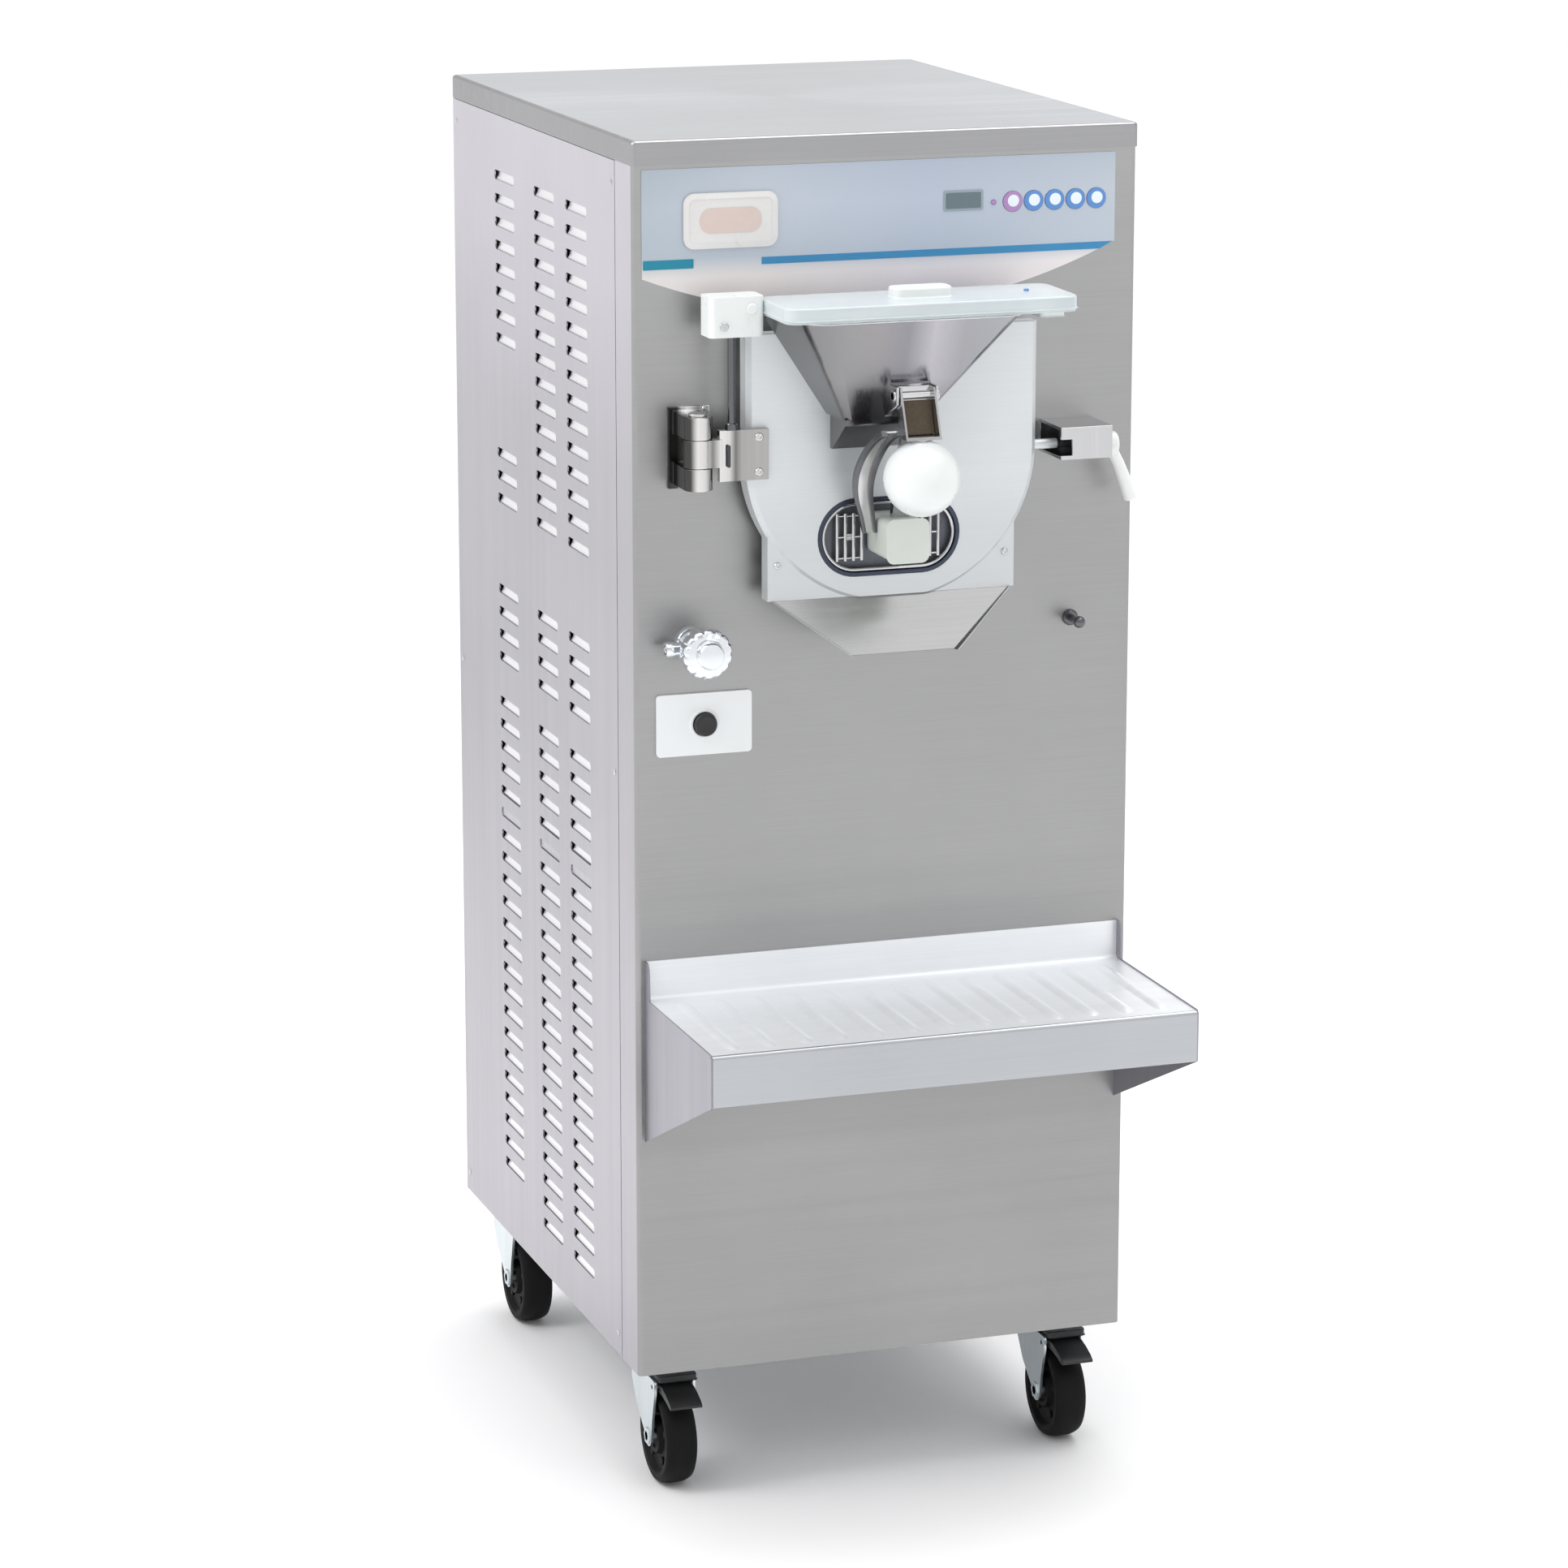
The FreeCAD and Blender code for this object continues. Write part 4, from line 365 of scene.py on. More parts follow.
def on_plane(axis, u, v, level):
    """The point (u, v) of the plane across an axis at a level."""
    first, second, normal = AXES[axis]
    point = [0, 0, 0]
    point[first], point[second], point[normal] = u, v, level
    return Vector(point)


def prism(bm, outline, axis, low, high):
    """An outline in the plane across an axis, raised between two levels."""
    bottom = [bm.verts.new(on_plane(axis, u, v, low)) for u, v in outline]
    top = [bm.verts.new(on_plane(axis, u, v, high)) for u, v in outline]
    bm.faces.new(bottom)
    bm.faces.new(top)
    for i in range(len(outline)):
        j = (i + 1) % len(outline)
        bm.faces.new((bottom[i], bottom[j], top[j], top[i]))
    return bm


def raised(outline, axis, low, high):
    """A prism in a mesh of its own."""
    return prism(bmesh.new(), outline, axis, low, high)


def turned(bm, profile, axis, centre, segments):
    """Revolve (radius, level) points about an axis through the centre. Ends at radius 0 close."""
    rings = []
    for radius, level in profile:
        if radius < 1e-6:
            rings.append([bm.verts.new(on_plane(axis, centre[0], centre[1], level))])
            continue
        ring = []
        for i in range(segments):
            angle = 2 * math.pi * i / segments
            ring.append(bm.verts.new(on_plane(axis, centre[0] + radius * math.cos(angle),
                                              centre[1] + radius * math.sin(angle), level)))
        rings.append(ring)
    pairs = list(zip(rings, rings[1:]))
    if profile[0][0] > 1e-6:
        pairs.append((rings[-1], rings[0]))
    for one, other in pairs:
        for i in range(segments):
            j = (i + 1) % segments
            face = list(dict.fromkeys((one[i % len(one)], one[j % len(one)],
                                       other[j % len(other)], other[i % len(other)])))
            if len(face) > 2:
                bm.faces.new(face)
    return bm


def spun(profile, axis, centre, segments):
    """A turned shape in a mesh of its own."""
    return turned(bmesh.new(), profile, axis, centre, segments)


def walls(bm, rings, closed=False):
    """Faces from each ring of corners to the next. An open row is capped at both ends."""
    for one, other in zip(rings, rings[1:] + rings[:1] if closed else rings[1:]):
        for i in range(len(one)):
            j = (i + 1) % len(one)
            bm.faces.new((one[i], one[j], other[j], other[i]))
    if not closed:
        bm.faces.new(rings[0])
        bm.faces.new(rings[-1])
    return bm


def hoop(loops):
    """A closed ring of faces through equal loops of points, the last joined to the first."""
    bm = bmesh.new()
    return walls(bm, [[bm.verts.new(point) for point in loop] for loop in loops], True)


def arc(cu, cv, radius, start, end, steps=8):
    """Points on an arc, in degrees."""
    angles = [math.radians(start + (end - start) * i / steps) for i in range(steps + 1)]
    return [(cu + radius * math.cos(a), cv + radius * math.sin(a)) for a in angles]


def round_rect(u_low, v_low, u_high, v_high, radius, steps):
    return (arc(u_low + radius, v_low + radius, radius, 180, 270, steps)
            + arc(u_high - radius, v_low + radius, radius, 270, 360, steps)
            + arc(u_high - radius, v_high - radius, radius, 0, 90, steps)
            + arc(u_low + radius, v_high - radius, radius, 90, 180, steps))


def outline_of(low, high, axis, inset, radius, steps):
    """Rounded outline of a box seen along an axis, drawn in by an inset."""
    u, v, _ = AXES[axis]
    return round_rect(low[u] + inset, low[v] + inset, high[u] - inset, high[v] - inset, radius,
                      steps)


def rounded_end(radius, low, high, lip, steps=4):
    """Profile of a disc with rounded rims, from axis to axis."""
    return ([(0, low)] + arc(radius - lip, low + lip, lip, -90, 0, steps)
            + arc(radius - lip, high - lip, lip, 0, 90, steps) + [(0, high)])


def wire(bm, points, radius, segments):
    """A round bar swept along points."""
    path = [Vector(p) for p in points]
    rings = []
    side = None
    for i, point in enumerate(path):
        ahead = path[min(i + 1, len(path) - 1)] - path[max(i - 1, 0)]
        ahead.normalize()
        if side is None:
            side = ahead.orthogonal().normalized()
        side = (side - ahead * side.dot(ahead)).normalized()
        up = ahead.cross(side)
        rings.append([bm.verts.new(point + radius * (side * math.cos(2 * math.pi * k / segments)
                                                     + up * math.sin(2 * math.pi * k / segments)))
                      for k in range(segments)])
    return walls(bm, rings)


def screw(bm, axis, centre, level, out, radius, height):
    """A pan-head screw with a round dimple, standing out from a face."""
    profile = [(0, level), (radius, level), (radius, level + out * height * 0.45),
               (radius * 0.82, level + out * height * 0.85), (radius * 0.45, level + out * height),
               (radius * 0.40, level + out * height * 0.45), (0, level + out * height * 0.4)]
    return turned(bm, profile, axis, centre, 24)


def carved(bm, *cutters):
    """Take closed bmeshes away from another with an exact boolean."""
    scene = bpy.context.scene
    made = []
    for i, source in enumerate((bm, *cutters)):
        bmesh.ops.recalc_face_normals(source, faces=source.faces)
        mesh = bpy.data.meshes.new(f"carve_{i}")
        source.to_mesh(mesh)
        source.free()
        obj = bpy.data.objects.new(f"carve_{i}", mesh)
        scene.collection.objects.link(obj)
        made.append(obj)
    for cutter in made[1:]:
        modifier = made[0].modifiers.new("carve", "BOOLEAN")
        modifier.operation = "DIFFERENCE"
        modifier.solver = "EXACT"
        modifier.object = cutter
    graph = bpy.context.evaluated_depsgraph_get()
    result = bpy.data.meshes.new_from_object(made[0].evaluated_get(graph))
    carved_bm = bmesh.new()
    carved_bm.from_mesh(result)
    bpy.data.meshes.remove(result)
    for obj in made:
        mesh = obj.data
        bpy.data.objects.remove(obj)
        bpy.data.meshes.remove(mesh)
    return carved_bm


def from_cad(node):
    """A working copy of a CAD node's mesh in millimetres, its flat faces joined."""
    bm = bmesh.new()
    source = frame["nodes"][node]
    bm.from_mesh(source.data)
    bm.transform(Matrix.Scale(1 / MM, 4) @ Matrix.Translation((0, -FRONT, 0)))
    bmesh.ops.remove_doubles(bm, verts=bm.verts, dist=0.01)
    bmesh.ops.dissolve_limit(bm, angle_limit=math.radians(0.8), verts=bm.verts, edges=bm.edges,
                             use_dissolve_boundaries=False)
    return bm


BODY_OF = {node: body for body, nodes in frame["record"]["behaviour"]["bodies"].items()
           for node in nodes}
SLOT_OF = {row["node"]: row["material_slot"] for row in frame["record"]["subparts"]}


def extra(name, bm, node, material=None, stands_for=(), **finish):
    """A detail that belongs to a node and rides with it."""
    slot = SLOT_OF[node]
    piece(name, bm, material or slot, BODY_OF[node], stands_for, slot, **finish)


def stands(name, bm, node, material=None, **finish):
    """A newly built piece that stands for a CAD node."""
    extra(name, bm, node, material, (node,), **finish)


def refined(node, bevel, material=None, bevel_angle=35.0, **finish):
    """The CAD shape of a node with rounded edges and a detailed finish."""
    stands(f"{node}_skin", from_cad(node), node, material, bevel=bevel, bevel_angle=bevel_angle,
           **finish)


def screws(name, node, axis, spots, level, out, radius, height):
    """Pan-head screws on one face of a node."""
    bm = bmesh.new()
    for spot in spots:
        screw(bm, axis, spot, level, out, radius, height)
    extra(name, bm, node, "polished_steel", sharp=30)


# ---- cabinet


def front_panel():
    """Sheet with rolled side edges, cut for the barrel, the tap and the button."""
    low, high = box_mm("front_panel")
    corner, skin, seam = 5.0, 1.5, 5.5
    left, right = low.x + corner, high.x - corner
    outer = ([(low.x, seam)] + arc(left, corner, corner, 180, 270)
             + arc(right, corner, corner, 270, 360) + [(high.x, seam)])
    inner = ([(high.x - skin, seam)] + arc(right, corner, corner - skin, 360, 270)
             + arc(left, corner, corner - skin, 270, 180) + [(low.x + skin, seam)])
    bm = raised(outer + inner, "z", low.z, high.z)
    holes = []
    for node, radius in (("door_gasket", 118), ("tap_knob", 11.5), ("push_button", 12)):
        spot = centre_mm(node)
        holes.append(spun([(0, -5), (radius, -5), (radius, 5), (0, 5)], "y", spot.xz, 96))
    stands("front_panel_sheet", carved(bm, *holes), "front_panel", sharp=30)
    for x in (low.x, high.x - skin):
        fold = block(bmesh.new(), (x, seam, low.z), (x + skin, high.y, high.z))
        extra("front_panel_fold", fold, "front_panel", "side_steel")


def top_lid():
    """Folded pan: a rolled rim around a flat top."""
    low, high = box_mm("top_lid")
    roll = [(low.z, 0.0), (high.z - 3.5, 0.0), (high.z - 1.9, 0.35), (high.z - 0.7, 1.3),
            (high.z - 0.1, 2.8), (high.z, 4.5)]
    loops = []
    for z, inset in roll + [(high.z - 1.5, 4.5), (low.z + 0.5, 1.5), (low.z, 1.5)]:
        outline = outline_of(low, high, "z", inset, 5 - inset / 2, 6)
        loops.append([(u, v, z) for u, v in outline])
    # the rim takes a darker steel as painted shade
    extra("top_lid_rim", hoop(loops), "top_lid", "rim_steel_painted_shade", sharp=50)
    flat = raised(outline_of(low, high, "z", 4.4, 2.8, 6), "z", high.z - 1.5, high.z - 0.02)
    stands("top_lid_pan", flat, "top_lid")


def louvre_tabs(side):
    """Tongues pressed in behind each vent slot, rising inwards from its lower edge."""
    node = f"side_panel_{side}"
    low, high = box_mm(node)
    sheet, half_length = 1.5, 34
    top_row, pitch = 1290.6, 24.4
    columns = (191, 305, 452)
    tongue = ((0.0, -5.2), (1.2, -4.8), (2.6, -1.0), (3.6, 4.6), (3.0, 4.8), (2.0, -0.6),
              (0.6, -4.0), (0.0, -4.5))
    skin, inwards = (low.x + sheet, 1) if side == "left" else (high.x - sheet, -1)
    bm = bmesh.new()
    # first row, number of rows and number of columns of each group
    for first, rows, used in ((0, 8, 3), (8, 4, 2), (12, 3, 3), (18, 4, 3), (23, 22, 3), (45, 1, 2)):
        for row in range(first, first + rows):
            z = top_row - pitch * row
            section = [(skin + inwards * across, z + up) for across, up in tongue]
            for y in columns[:used]:
                prism(bm, section, "y", y - half_length, y + half_length)
    # the tongues take a near-white steel as painted highlight
    extra(f"louvre_tabs_{side}", bm, node, "tab_steel_painted_highlight", sharp=50)


def cabinet_screws():
    """Screws of the side and rear panels."""
    for side, corner, out in (("left", 0, -1), ("right", 1, 1)):
        node = f"side_panel_{side}"
        low, high = box_mm(node)
        spots = [(y, z) for y in (low.y + 12, high.y - 12)
                 for z in (low.z + 22, (low.z + high.z) / 2, high.z - 22)]
        screws(f"{node}_screws", node, "x", spots, (low, high)[corner].x, out, 3.4, 0.9)
    low, high = box_mm("rear_panel")
    spots = [(x, z) for x in (low.x + 12, 0, high.x - 12)
             for z in (low.z + 14, (low.z + high.z) / 2, high.z - 14)]
    screws("rear_panel_screws", "rear_panel", "y", spots, high.y, 1, 3.8, 2.0)


front_panel()
top_lid()
for node in ("side_panel_left", "side_panel_right", "rear_panel"):
    refined(node, 0.0)
for side in ("left", "right"):
    louvre_tabs(side)
cabinet_screws()
for node in ("chassis_frame", "freezing_barrel", "beater", "scraper_blades", "beater_pulley",
             "motor_pulley", "drive_motor", "condenser_unit", "electrical_box", "condenser_fan",
             "barrel_insulation", "drive_belt", "caster_plates", "hinge_pin", "door_gasket"):
    refined(node, 0.5 if node not in ("drive_belt", "door_gasket") else 0.3)


def compressor():
    """Hermetic pot with a welded seam and a domed top, on a plate with four mounts."""
    low, high = box_mm("compressor")
    mid = centre_mm("compressor")
    radius = (high.x - low.x) / 2
    shoulder, seam = 195, 3  # where the dome starts; how far the seam stands out
    profile = [(0, 27), (radius - 14, 27), (radius - 4, 40), (radius - seam, 130), (radius, 131),
               (radius, 139), (radius - seam, 140)]
    profile = [(r, low.z + rise) for r, rise in profile]
    for a in [math.radians(9 * i) for i in range(10)]:
        profile.append(((radius - seam) * math.cos(a),
                        low.z + shoulder + (high.z - low.z - shoulder) * math.sin(a)))
    profile.append((0, high.z))
    bm = spun(profile, "z", mid.xy, 72)
    block(bm, (mid.x - 80, mid.y - 80, low.z), (mid.x + 80, mid.y + 80, low.z + 6))
    for dx in (-60, 60):
        for dy in (-60, 60):
            turned(bm, rounded_end(12, low.z + 6, low.z + 28, 3), "z", (mid.x + dx, mid.y + dy), 24)
    stands("compressor_pot", bm, "compressor", sharp=35)


def condenser_fins():
    """Fin edges of the coil seen from behind."""
    low, high = box_mm("condenser_unit")
    bm = bmesh.new()
    count = 80
    step = (high.x - low.x - 12) / count
    for i in range(count):
        x = low.x + 6 + step * i
        block(bm, (x, high.y - 0.2, low.z + 55), (x + step * 0.45, high.y + 1.5, high.z - 8))
    extra("condenser_fins", bm, "condenser_unit")


compressor()
condenser_fins()

# ---- controls


def fascia():
    """The printed front with its stripe, display and lamp."""
    node = "control_fascia"
    refined(node, 0.0)
    face = -1.0
    blue = [(-130, 1254.6), (221, 1254.6), (235, 1261.6), (-130, 1261.6)]
    for name, outline, rise, foot, material, bevel in (
            ("stripe_blue", blue, 0.35, 0, "stripe_blue", 0),
            ("stripe_teal", round_rect(-250, 1253.6, -199, 1262.6, 0.8, 3), 0.35, 0,
             "stripe_teal", 0),
            ("display_frame", round_rect(57, 1298, 98, 1318, 1.6, 4), 0.5, 0,
             "display_frame", 0.25),
            ("display_glass", round_rect(59.5, 1300.5, 95.5, 1315.5, 0.8, 3), 0.8, 0.2,
             "display_glass", 0.2)):
        extra(name, raised(outline, "y", face - rise, face - foot), node, material, bevel=bevel)
    lamp = spun(rounded_end(2.6, face - 1.2, face, 1.1), "y", (109, 1305), 24)
    extra("status_lamp", lamp, node, "key_violet")


def keys():
    """Five round caps with a domed white face that sits off centre."""
    for number in range(1, 6):
        node = f"key_{number}"
        low, high = box_mm(node)
        mid = centre_mm(node)
        radius = (high.x - low.x) / 2
        ring = "key_violet" if number == 1 else "key_blue"
        bm = spun(rounded_end(radius, low.y + 0.15, high.y, 0.4, 3), "y", mid.xz, 48)
        stands(f"{node}_cap", bm, node, ring, sharp=60)
        dome = [(0, low.y), (radius * 0.35, low.y + 0.02), (radius * 0.68, low.y + 0.2),
                (radius * 0.7, low.y + 0.5), (0, low.y + 0.5)]
        face = spun(dome, "y", (mid.x + 0.7, mid.z + 0.7), 40)
        extra(f"{node}_face", face, node, "key_white", sharp=60)


def badge():
    """A blank raised plate with a rolled frame and an oval inlay."""
    low, high = box_mm("badge_plate")
    bm = raised(outline_of(low, high, "y", 0, 10, 8), "y", low.y + 0.6, high.y)
    stands("badge_rim", bm, "badge_plate", bevel=0.9, segments=3)
    front, back = low.y, low.y + 1.6
    outer = outline_of(low, high, "y", 0.6, 9.4, 8)
    inner = outline_of(low, high, "y", 5, 6, 8)
    rim = hoop([[(u, y, v) for u, v in outline] for outline, y in (
        (outer, back), (outer, front + 0.5), (inner, front), (inner, back))])
    extra("badge_frame", rim, "badge_plate", "badge", bevel=0.2)
    inlay = raised(round_rect(low.x + 16, low.z + 14, high.x - 16, high.z - 14, 11, 10), "y",
                   low.y + 0.25, low.y + 1.0)
    extra("badge_inlay", inlay, "badge_plate", "badge_inlay", bevel=0.25)


fascia()
keys()
badge()

# ---- door


def outlet_outline(reach, steps=20):
    """Outline at a reach around the outlet's straight middle."""
    mid, straight = centre_mm("outlet_grille"), 34.5
    return (arc(mid.x + straight, mid.z, reach, -90, 90, steps)
            + arc(mid.x - straight, mid.z, reach, 90, 270, steps))


def door_skin():
    """The door with its screws, and a liner darkened as painted shade and a light bead in the
    outlet's recess.
    """
    refined("door_body", 0.9, segments=3, bevel_angle=40)
    mid = centre_mm("door_gasket")
    reach, level, face = 118, 964, -37
    screws("apron_screws", "door_body", "y", [(mid.x - reach, level), (mid.x + reach, level)],
           face, -1, 3.6, 2.0)
    radius = 37.0
    # the liner is darkened as painted shade in the recess
    liner = hoop([[(u, y, v) for u, v in outlet_outline(radius + more)] for more, y in (
        (2.2, -40.0), (1.8, -40.6), (-1.6, -40.6), (-2.0, -40.2), (-2.0, -30.1), (-0.05, -30.1),
        (-0.05, -40.0))])
    extra("outlet_liner", liner, "door_body", "liner_painted_shade", sharp=50)
    path = outlet_outline(radius - 4.2)
    bead = wire(bmesh.new(), [(u, -37.6, v) for u, v in path + path[:1]], 1.9, 12)
    extra("outlet_bead", bead, "door_body", "polished_steel")


def outlet_bars():
    """Two groups of round guard bars on cross wires and a foot, with a wall behind them darkened as
    painted shade.
    """
    low, high = box_mm("outlet_grille")
    mid = (low + high) / 2
    plug_low, plug_high = box_mm("gate_plug")
    inner = (plug_high.x - plug_low.x) / 2 + 7
    bm = bmesh.new()
    for side in (-1, 1):
        xs = [mid.x + side * (inner + 8.5 * i) for i in range(4)]
        for x in xs:
            wire(bm, [(x, -36, low.z + 0.4), (x, -36, high.z - 0.4)], 1.9, 12)
        for z in (low.z + 3, mid.z, high.z - 3):
            wire(bm, [(xs[0], -35.2, z), (xs[-1], -35.2, z)], 1.2, 10)
        foot = (xs[0] + xs[-1]) / 2
        block(bm, (foot - 3, -36, mid.z - 3), (foot + 3, -30, mid.z + 3))
    stands("outlet_bars", bm, "outlet_grille", sharp=45)
    # the back wall is darkened as painted shade
    back = raised(outlet_outline(34.9, 16), "y", -30.5, -30.05)
    port = block(bmesh.new(), (mid.x - 16, -32, 976), (mid.x + 16, -29, 1000))
    extra("outlet_back", carved(back, port), "outlet_grille", "recess_painted_shade")


def hopper_skin():
    """The funnel with a round rim that turns its front corners in wide curves."""
    refined("hopper", 0.35, segments=1)
    low, high = box_mm("hopper")
    back_y, front_y, taper, turn, steps = -41.0, -125.4, 22, 24, 10
    back_left, back_right = Vector((low.x + 0.6, back_y)), Vector((high.x - 0.6, back_y))
    front_left, front_right = Vector((low.x + taper, front_y)), Vector((high.x - taper, front_y))
    path = [back_left]
    for before, corner, after in ((back_left, front_left, front_right),
                                  (front_left, front_right, back_right)):
        start = corner + (before - corner).normalized() * turn
        end = corner + (after - corner).normalized() * turn
        for i in range(steps + 1):
            t = i / steps
            path.append(start.lerp(corner, t).lerp(corner.lerp(end, t), t))
    path += [back_right, back_left]
    rim = wire(bmesh.new(), [(u, v, high.z - 1.2) for u, v in path], 1.2, 10)
    extra("hopper_rim", rim, "hopper", "polished_steel")


door_skin()
outlet_bars()
hopper_skin()
refined("drip_chute", 0.3, "chute_steel", segments=1)


def lid_parts():
    """Translucent plate and skirt with a grip, an end block and a small blue pin."""
    node = "hopper_lid"
    low, high = box_mm(node)
    foot, top = 1213.6, 1229.0
    plate = raised(outline_of(low, high, "z", 0, 14, 8), "z", foot + 3, top)
    stands("lid_plate", plate, node, bevel=2.0, segments=4)
    outer, inner = (outline_of(low, high, "z", inset, 14 - inset, 8) for inset in (0.6, 3.6))
    skirt = hoop([[(u, v, z) for u, v in outline] for outline, z in (
        (outer, foot + 4), (outer, foot), (inner, foot), (inner, foot + 4))])
    extra("lid_skirt", skirt, node, "clear_lid", bevel=0.5)
    knob = raised(round_rect(-27, -96, 33, -70, 8, 6), "z", top - 0.6, top + 10)
    extra("lid_knob", knob, node, "white_nylon", bevel=2.5, segments=4)
    end = raised(round_rect(121, -102, 146, -55, 5, 6), "z", 1205, 1216)
    extra("lid_end_block", end, node, "white_nylon", bevel=1.5, segments=3)
    pin = spun(rounded_end(2.6, top - 0.5, top + 2, 0.8), "z", (112, -84), 20)
    extra("lid_pin", pin, node, "key_blue")


def hinge_block():
    """Block on the rod that the lid turns on, with its bolt and clamp screw."""
    low, high = box_mm("lid_hinge_block")
    rod = centre_mm("lid_rod")
    bm = raised(outline_of(low, high, "z", 0, 6, 6), "z", low.z, high.z)
    hole = spun([(0, low.z - 1), (3.6, low.z - 1), (3.6, high.z - 2.6), (0, high.z - 2.6)], "z",
                rod.xy, 32)
    stands("lid_hinge_block_body", carved(bm, hole), "lid_hinge_block", bevel=2.2, segments=4,
           bevel_angle=50)
    bolt = spun(rounded_end(5.5, low.y - 2.4, low.y + 1, 1.6), "y", (high.x - 13, high.z - 12), 32)
    extra("lid_hinge_bolt", bolt, "lid_hinge_block", "white_nylon")
    clamp = spun(rounded_end(4.4, low.y - 2.0, low.y + 1, 1.2), "y", (low.x + 14, low.z + 11), 32)
    extra("lid_hinge_screw", clamp, "lid_hinge_block", "polished_steel")


def lid_rod():
    """Upright rod with a collar at its foot."""
    low, high = box_mm("lid_rod")
    mid = (low + high) / 2
    bm = spun(rounded_end(3.5, low.z, high.z, 1.0), "z", mid.xy, 32)
    turned(bm, [(3.4, low.z), (6.2, low.z), (6.2, low.z + 5), (5.2, low.z + 6.5),
                (3.4, low.z + 6.5)], "z", mid.xy, 32)
    stands("lid_rod_bar", bm, "lid_rod", "rod_steel", sharp=45)


lid_parts()
hinge_block()
lid_rod()

# ---- hinge and latch


def hinge_details():
    """Bracket and arm with their screws, and a dark plate of painted shade in the slot between their
    knuckles.
    """
    for node in ("hinge_bracket", "hinge_arm"):
        refined(node, 1.0, segments=3)
    front = box_mm("hinge_arm")[0].y
    # a dark plate of painted shade in the arm's slot
    slot = raised(round_rect(-181, 1066, -177.6, 1088, 1.6, 4), "y", front + 2.1, front + 3.2)
    extra("hinge_slot", slot, "hinge_arm", "slot_painted_shade")
    screws("hinge_arm_screws", "hinge_arm", "y", [(-148, 1060), (-148, 1094)], -47, -1, 4.2, 2.2)
    screws("hinge_base_screws", "hinge_bracket", "y", [(-190, 1042.5), (-190, 1117.5)], -4, -1,
           2.0, 1.2)


def latch_details():
    """Housing, hub and bolt, and a round grip that bends down and grows thicker."""
    refined("latch_housing", 1.2, "polished_steel", segments=3)
    hub_y, hub_z = -38, 1066
    hub_x = box_mm("latch_housing")[1].x + 0.5
    hub = spun(rounded_end(12, hub_x, hub_x + 12, 2.5), "x", (hub_y, hub_z), 40)
    turned(hub, rounded_end(5.9, hub_x - 18, hub_x + 1, 1.0), "x", (hub_y, hub_z), 32)
    stands("latch_hub", hub, "latch_handle", sharp=45)
    grip = bmesh.new()
    path = [Vector((hub_x + 6, hub_y, hub_z - 2)), Vector((hub_x + 15, hub_y, hub_z - 20)),
            Vector((hub_x + 23, hub_y, hub_z - 40)), Vector((hub_x + 29, hub_y, hub_z - 57))]
    widths = [5.2, 5.8, 6.6, 6.9]
    rings = []
    steps = 14
    for i in range(steps + 1):
        t = i / steps * (len(path) - 1)
        k = min(int(t), len(path) - 2)
        point = path[k].lerp(path[k + 1], t - k)
        width = widths[k] + (widths[k + 1] - widths[k]) * (t - k)
        ahead = (path[k + 1] - path[k]).normalized()
        across = Vector((0, 1, 0))
        up = ahead.cross(across)
        rings.append([grip.verts.new(point + width * (across * math.cos(a) * 1.1 + up * math.sin(a)))
                      for a in [2 * math.pi * n / 24 for n in range(24)]])
    walls(grip, rings)
    extra("latch_grip", grip, "latch_handle", "grip_plastic", bevel=2.2, segments=4, sharp=60)


hinge_details()
latch_details()

# ---- extraction lever


def lever_parts():
    """Bracket and lever with caps on the pivot and a dark sheet of painted shadow in the lever's
    channel.
    """
    for node in ("lever_bracket", "extraction_lever"):
        refined(node, 0.5)
    pivot = (-112, 1138)
    low, high = box_mm("lever_bracket")
    caps = bmesh.new()
    for x in (low.x, high.x - 2.2):
        turned(caps, rounded_end(6.5, x, x + 2.2, 0.9), "x", pivot, 32)
    extra("pivot_caps", caps, "lever_bracket", "polished_steel")
    mid_x, half_width = centre_mm("extraction_lever").x, 15.6
    # a dark sheet of painted shadow in the lever's channel
    painted_shadow_sheet = raised([(-111.9, 1133), (-113.6, 1133), (-124.8, 1102), (-123.2, 1102)], "x",
                    mid_x - half_width, mid_x + half_width)
    extra("lever_painted_shadow", painted_shadow_sheet, "extraction_lever", "lever_shadow")


def ribbon(bm, path, low, high, back, front):
    """A bar along (x, half width, y, z) stations, between two places across its width."""
    rings = []
    for i, (x, half, y, z) in enumerate(path):
        before, after = path[max(i - 1, 0)], path[min(i + 1, len(path) - 1)]
        along = Vector((0, after[2] - before[2], after[3] - before[3])).normalized()
        out = Vector((0, along.z, -along.y))
        rings.append([bm.verts.new(Vector((x + half * across, y, z)) + out * rise)
                      for across, rise in ((low, back), (high, back), (high, front), (low, front))])
    return walls(bm, rings)


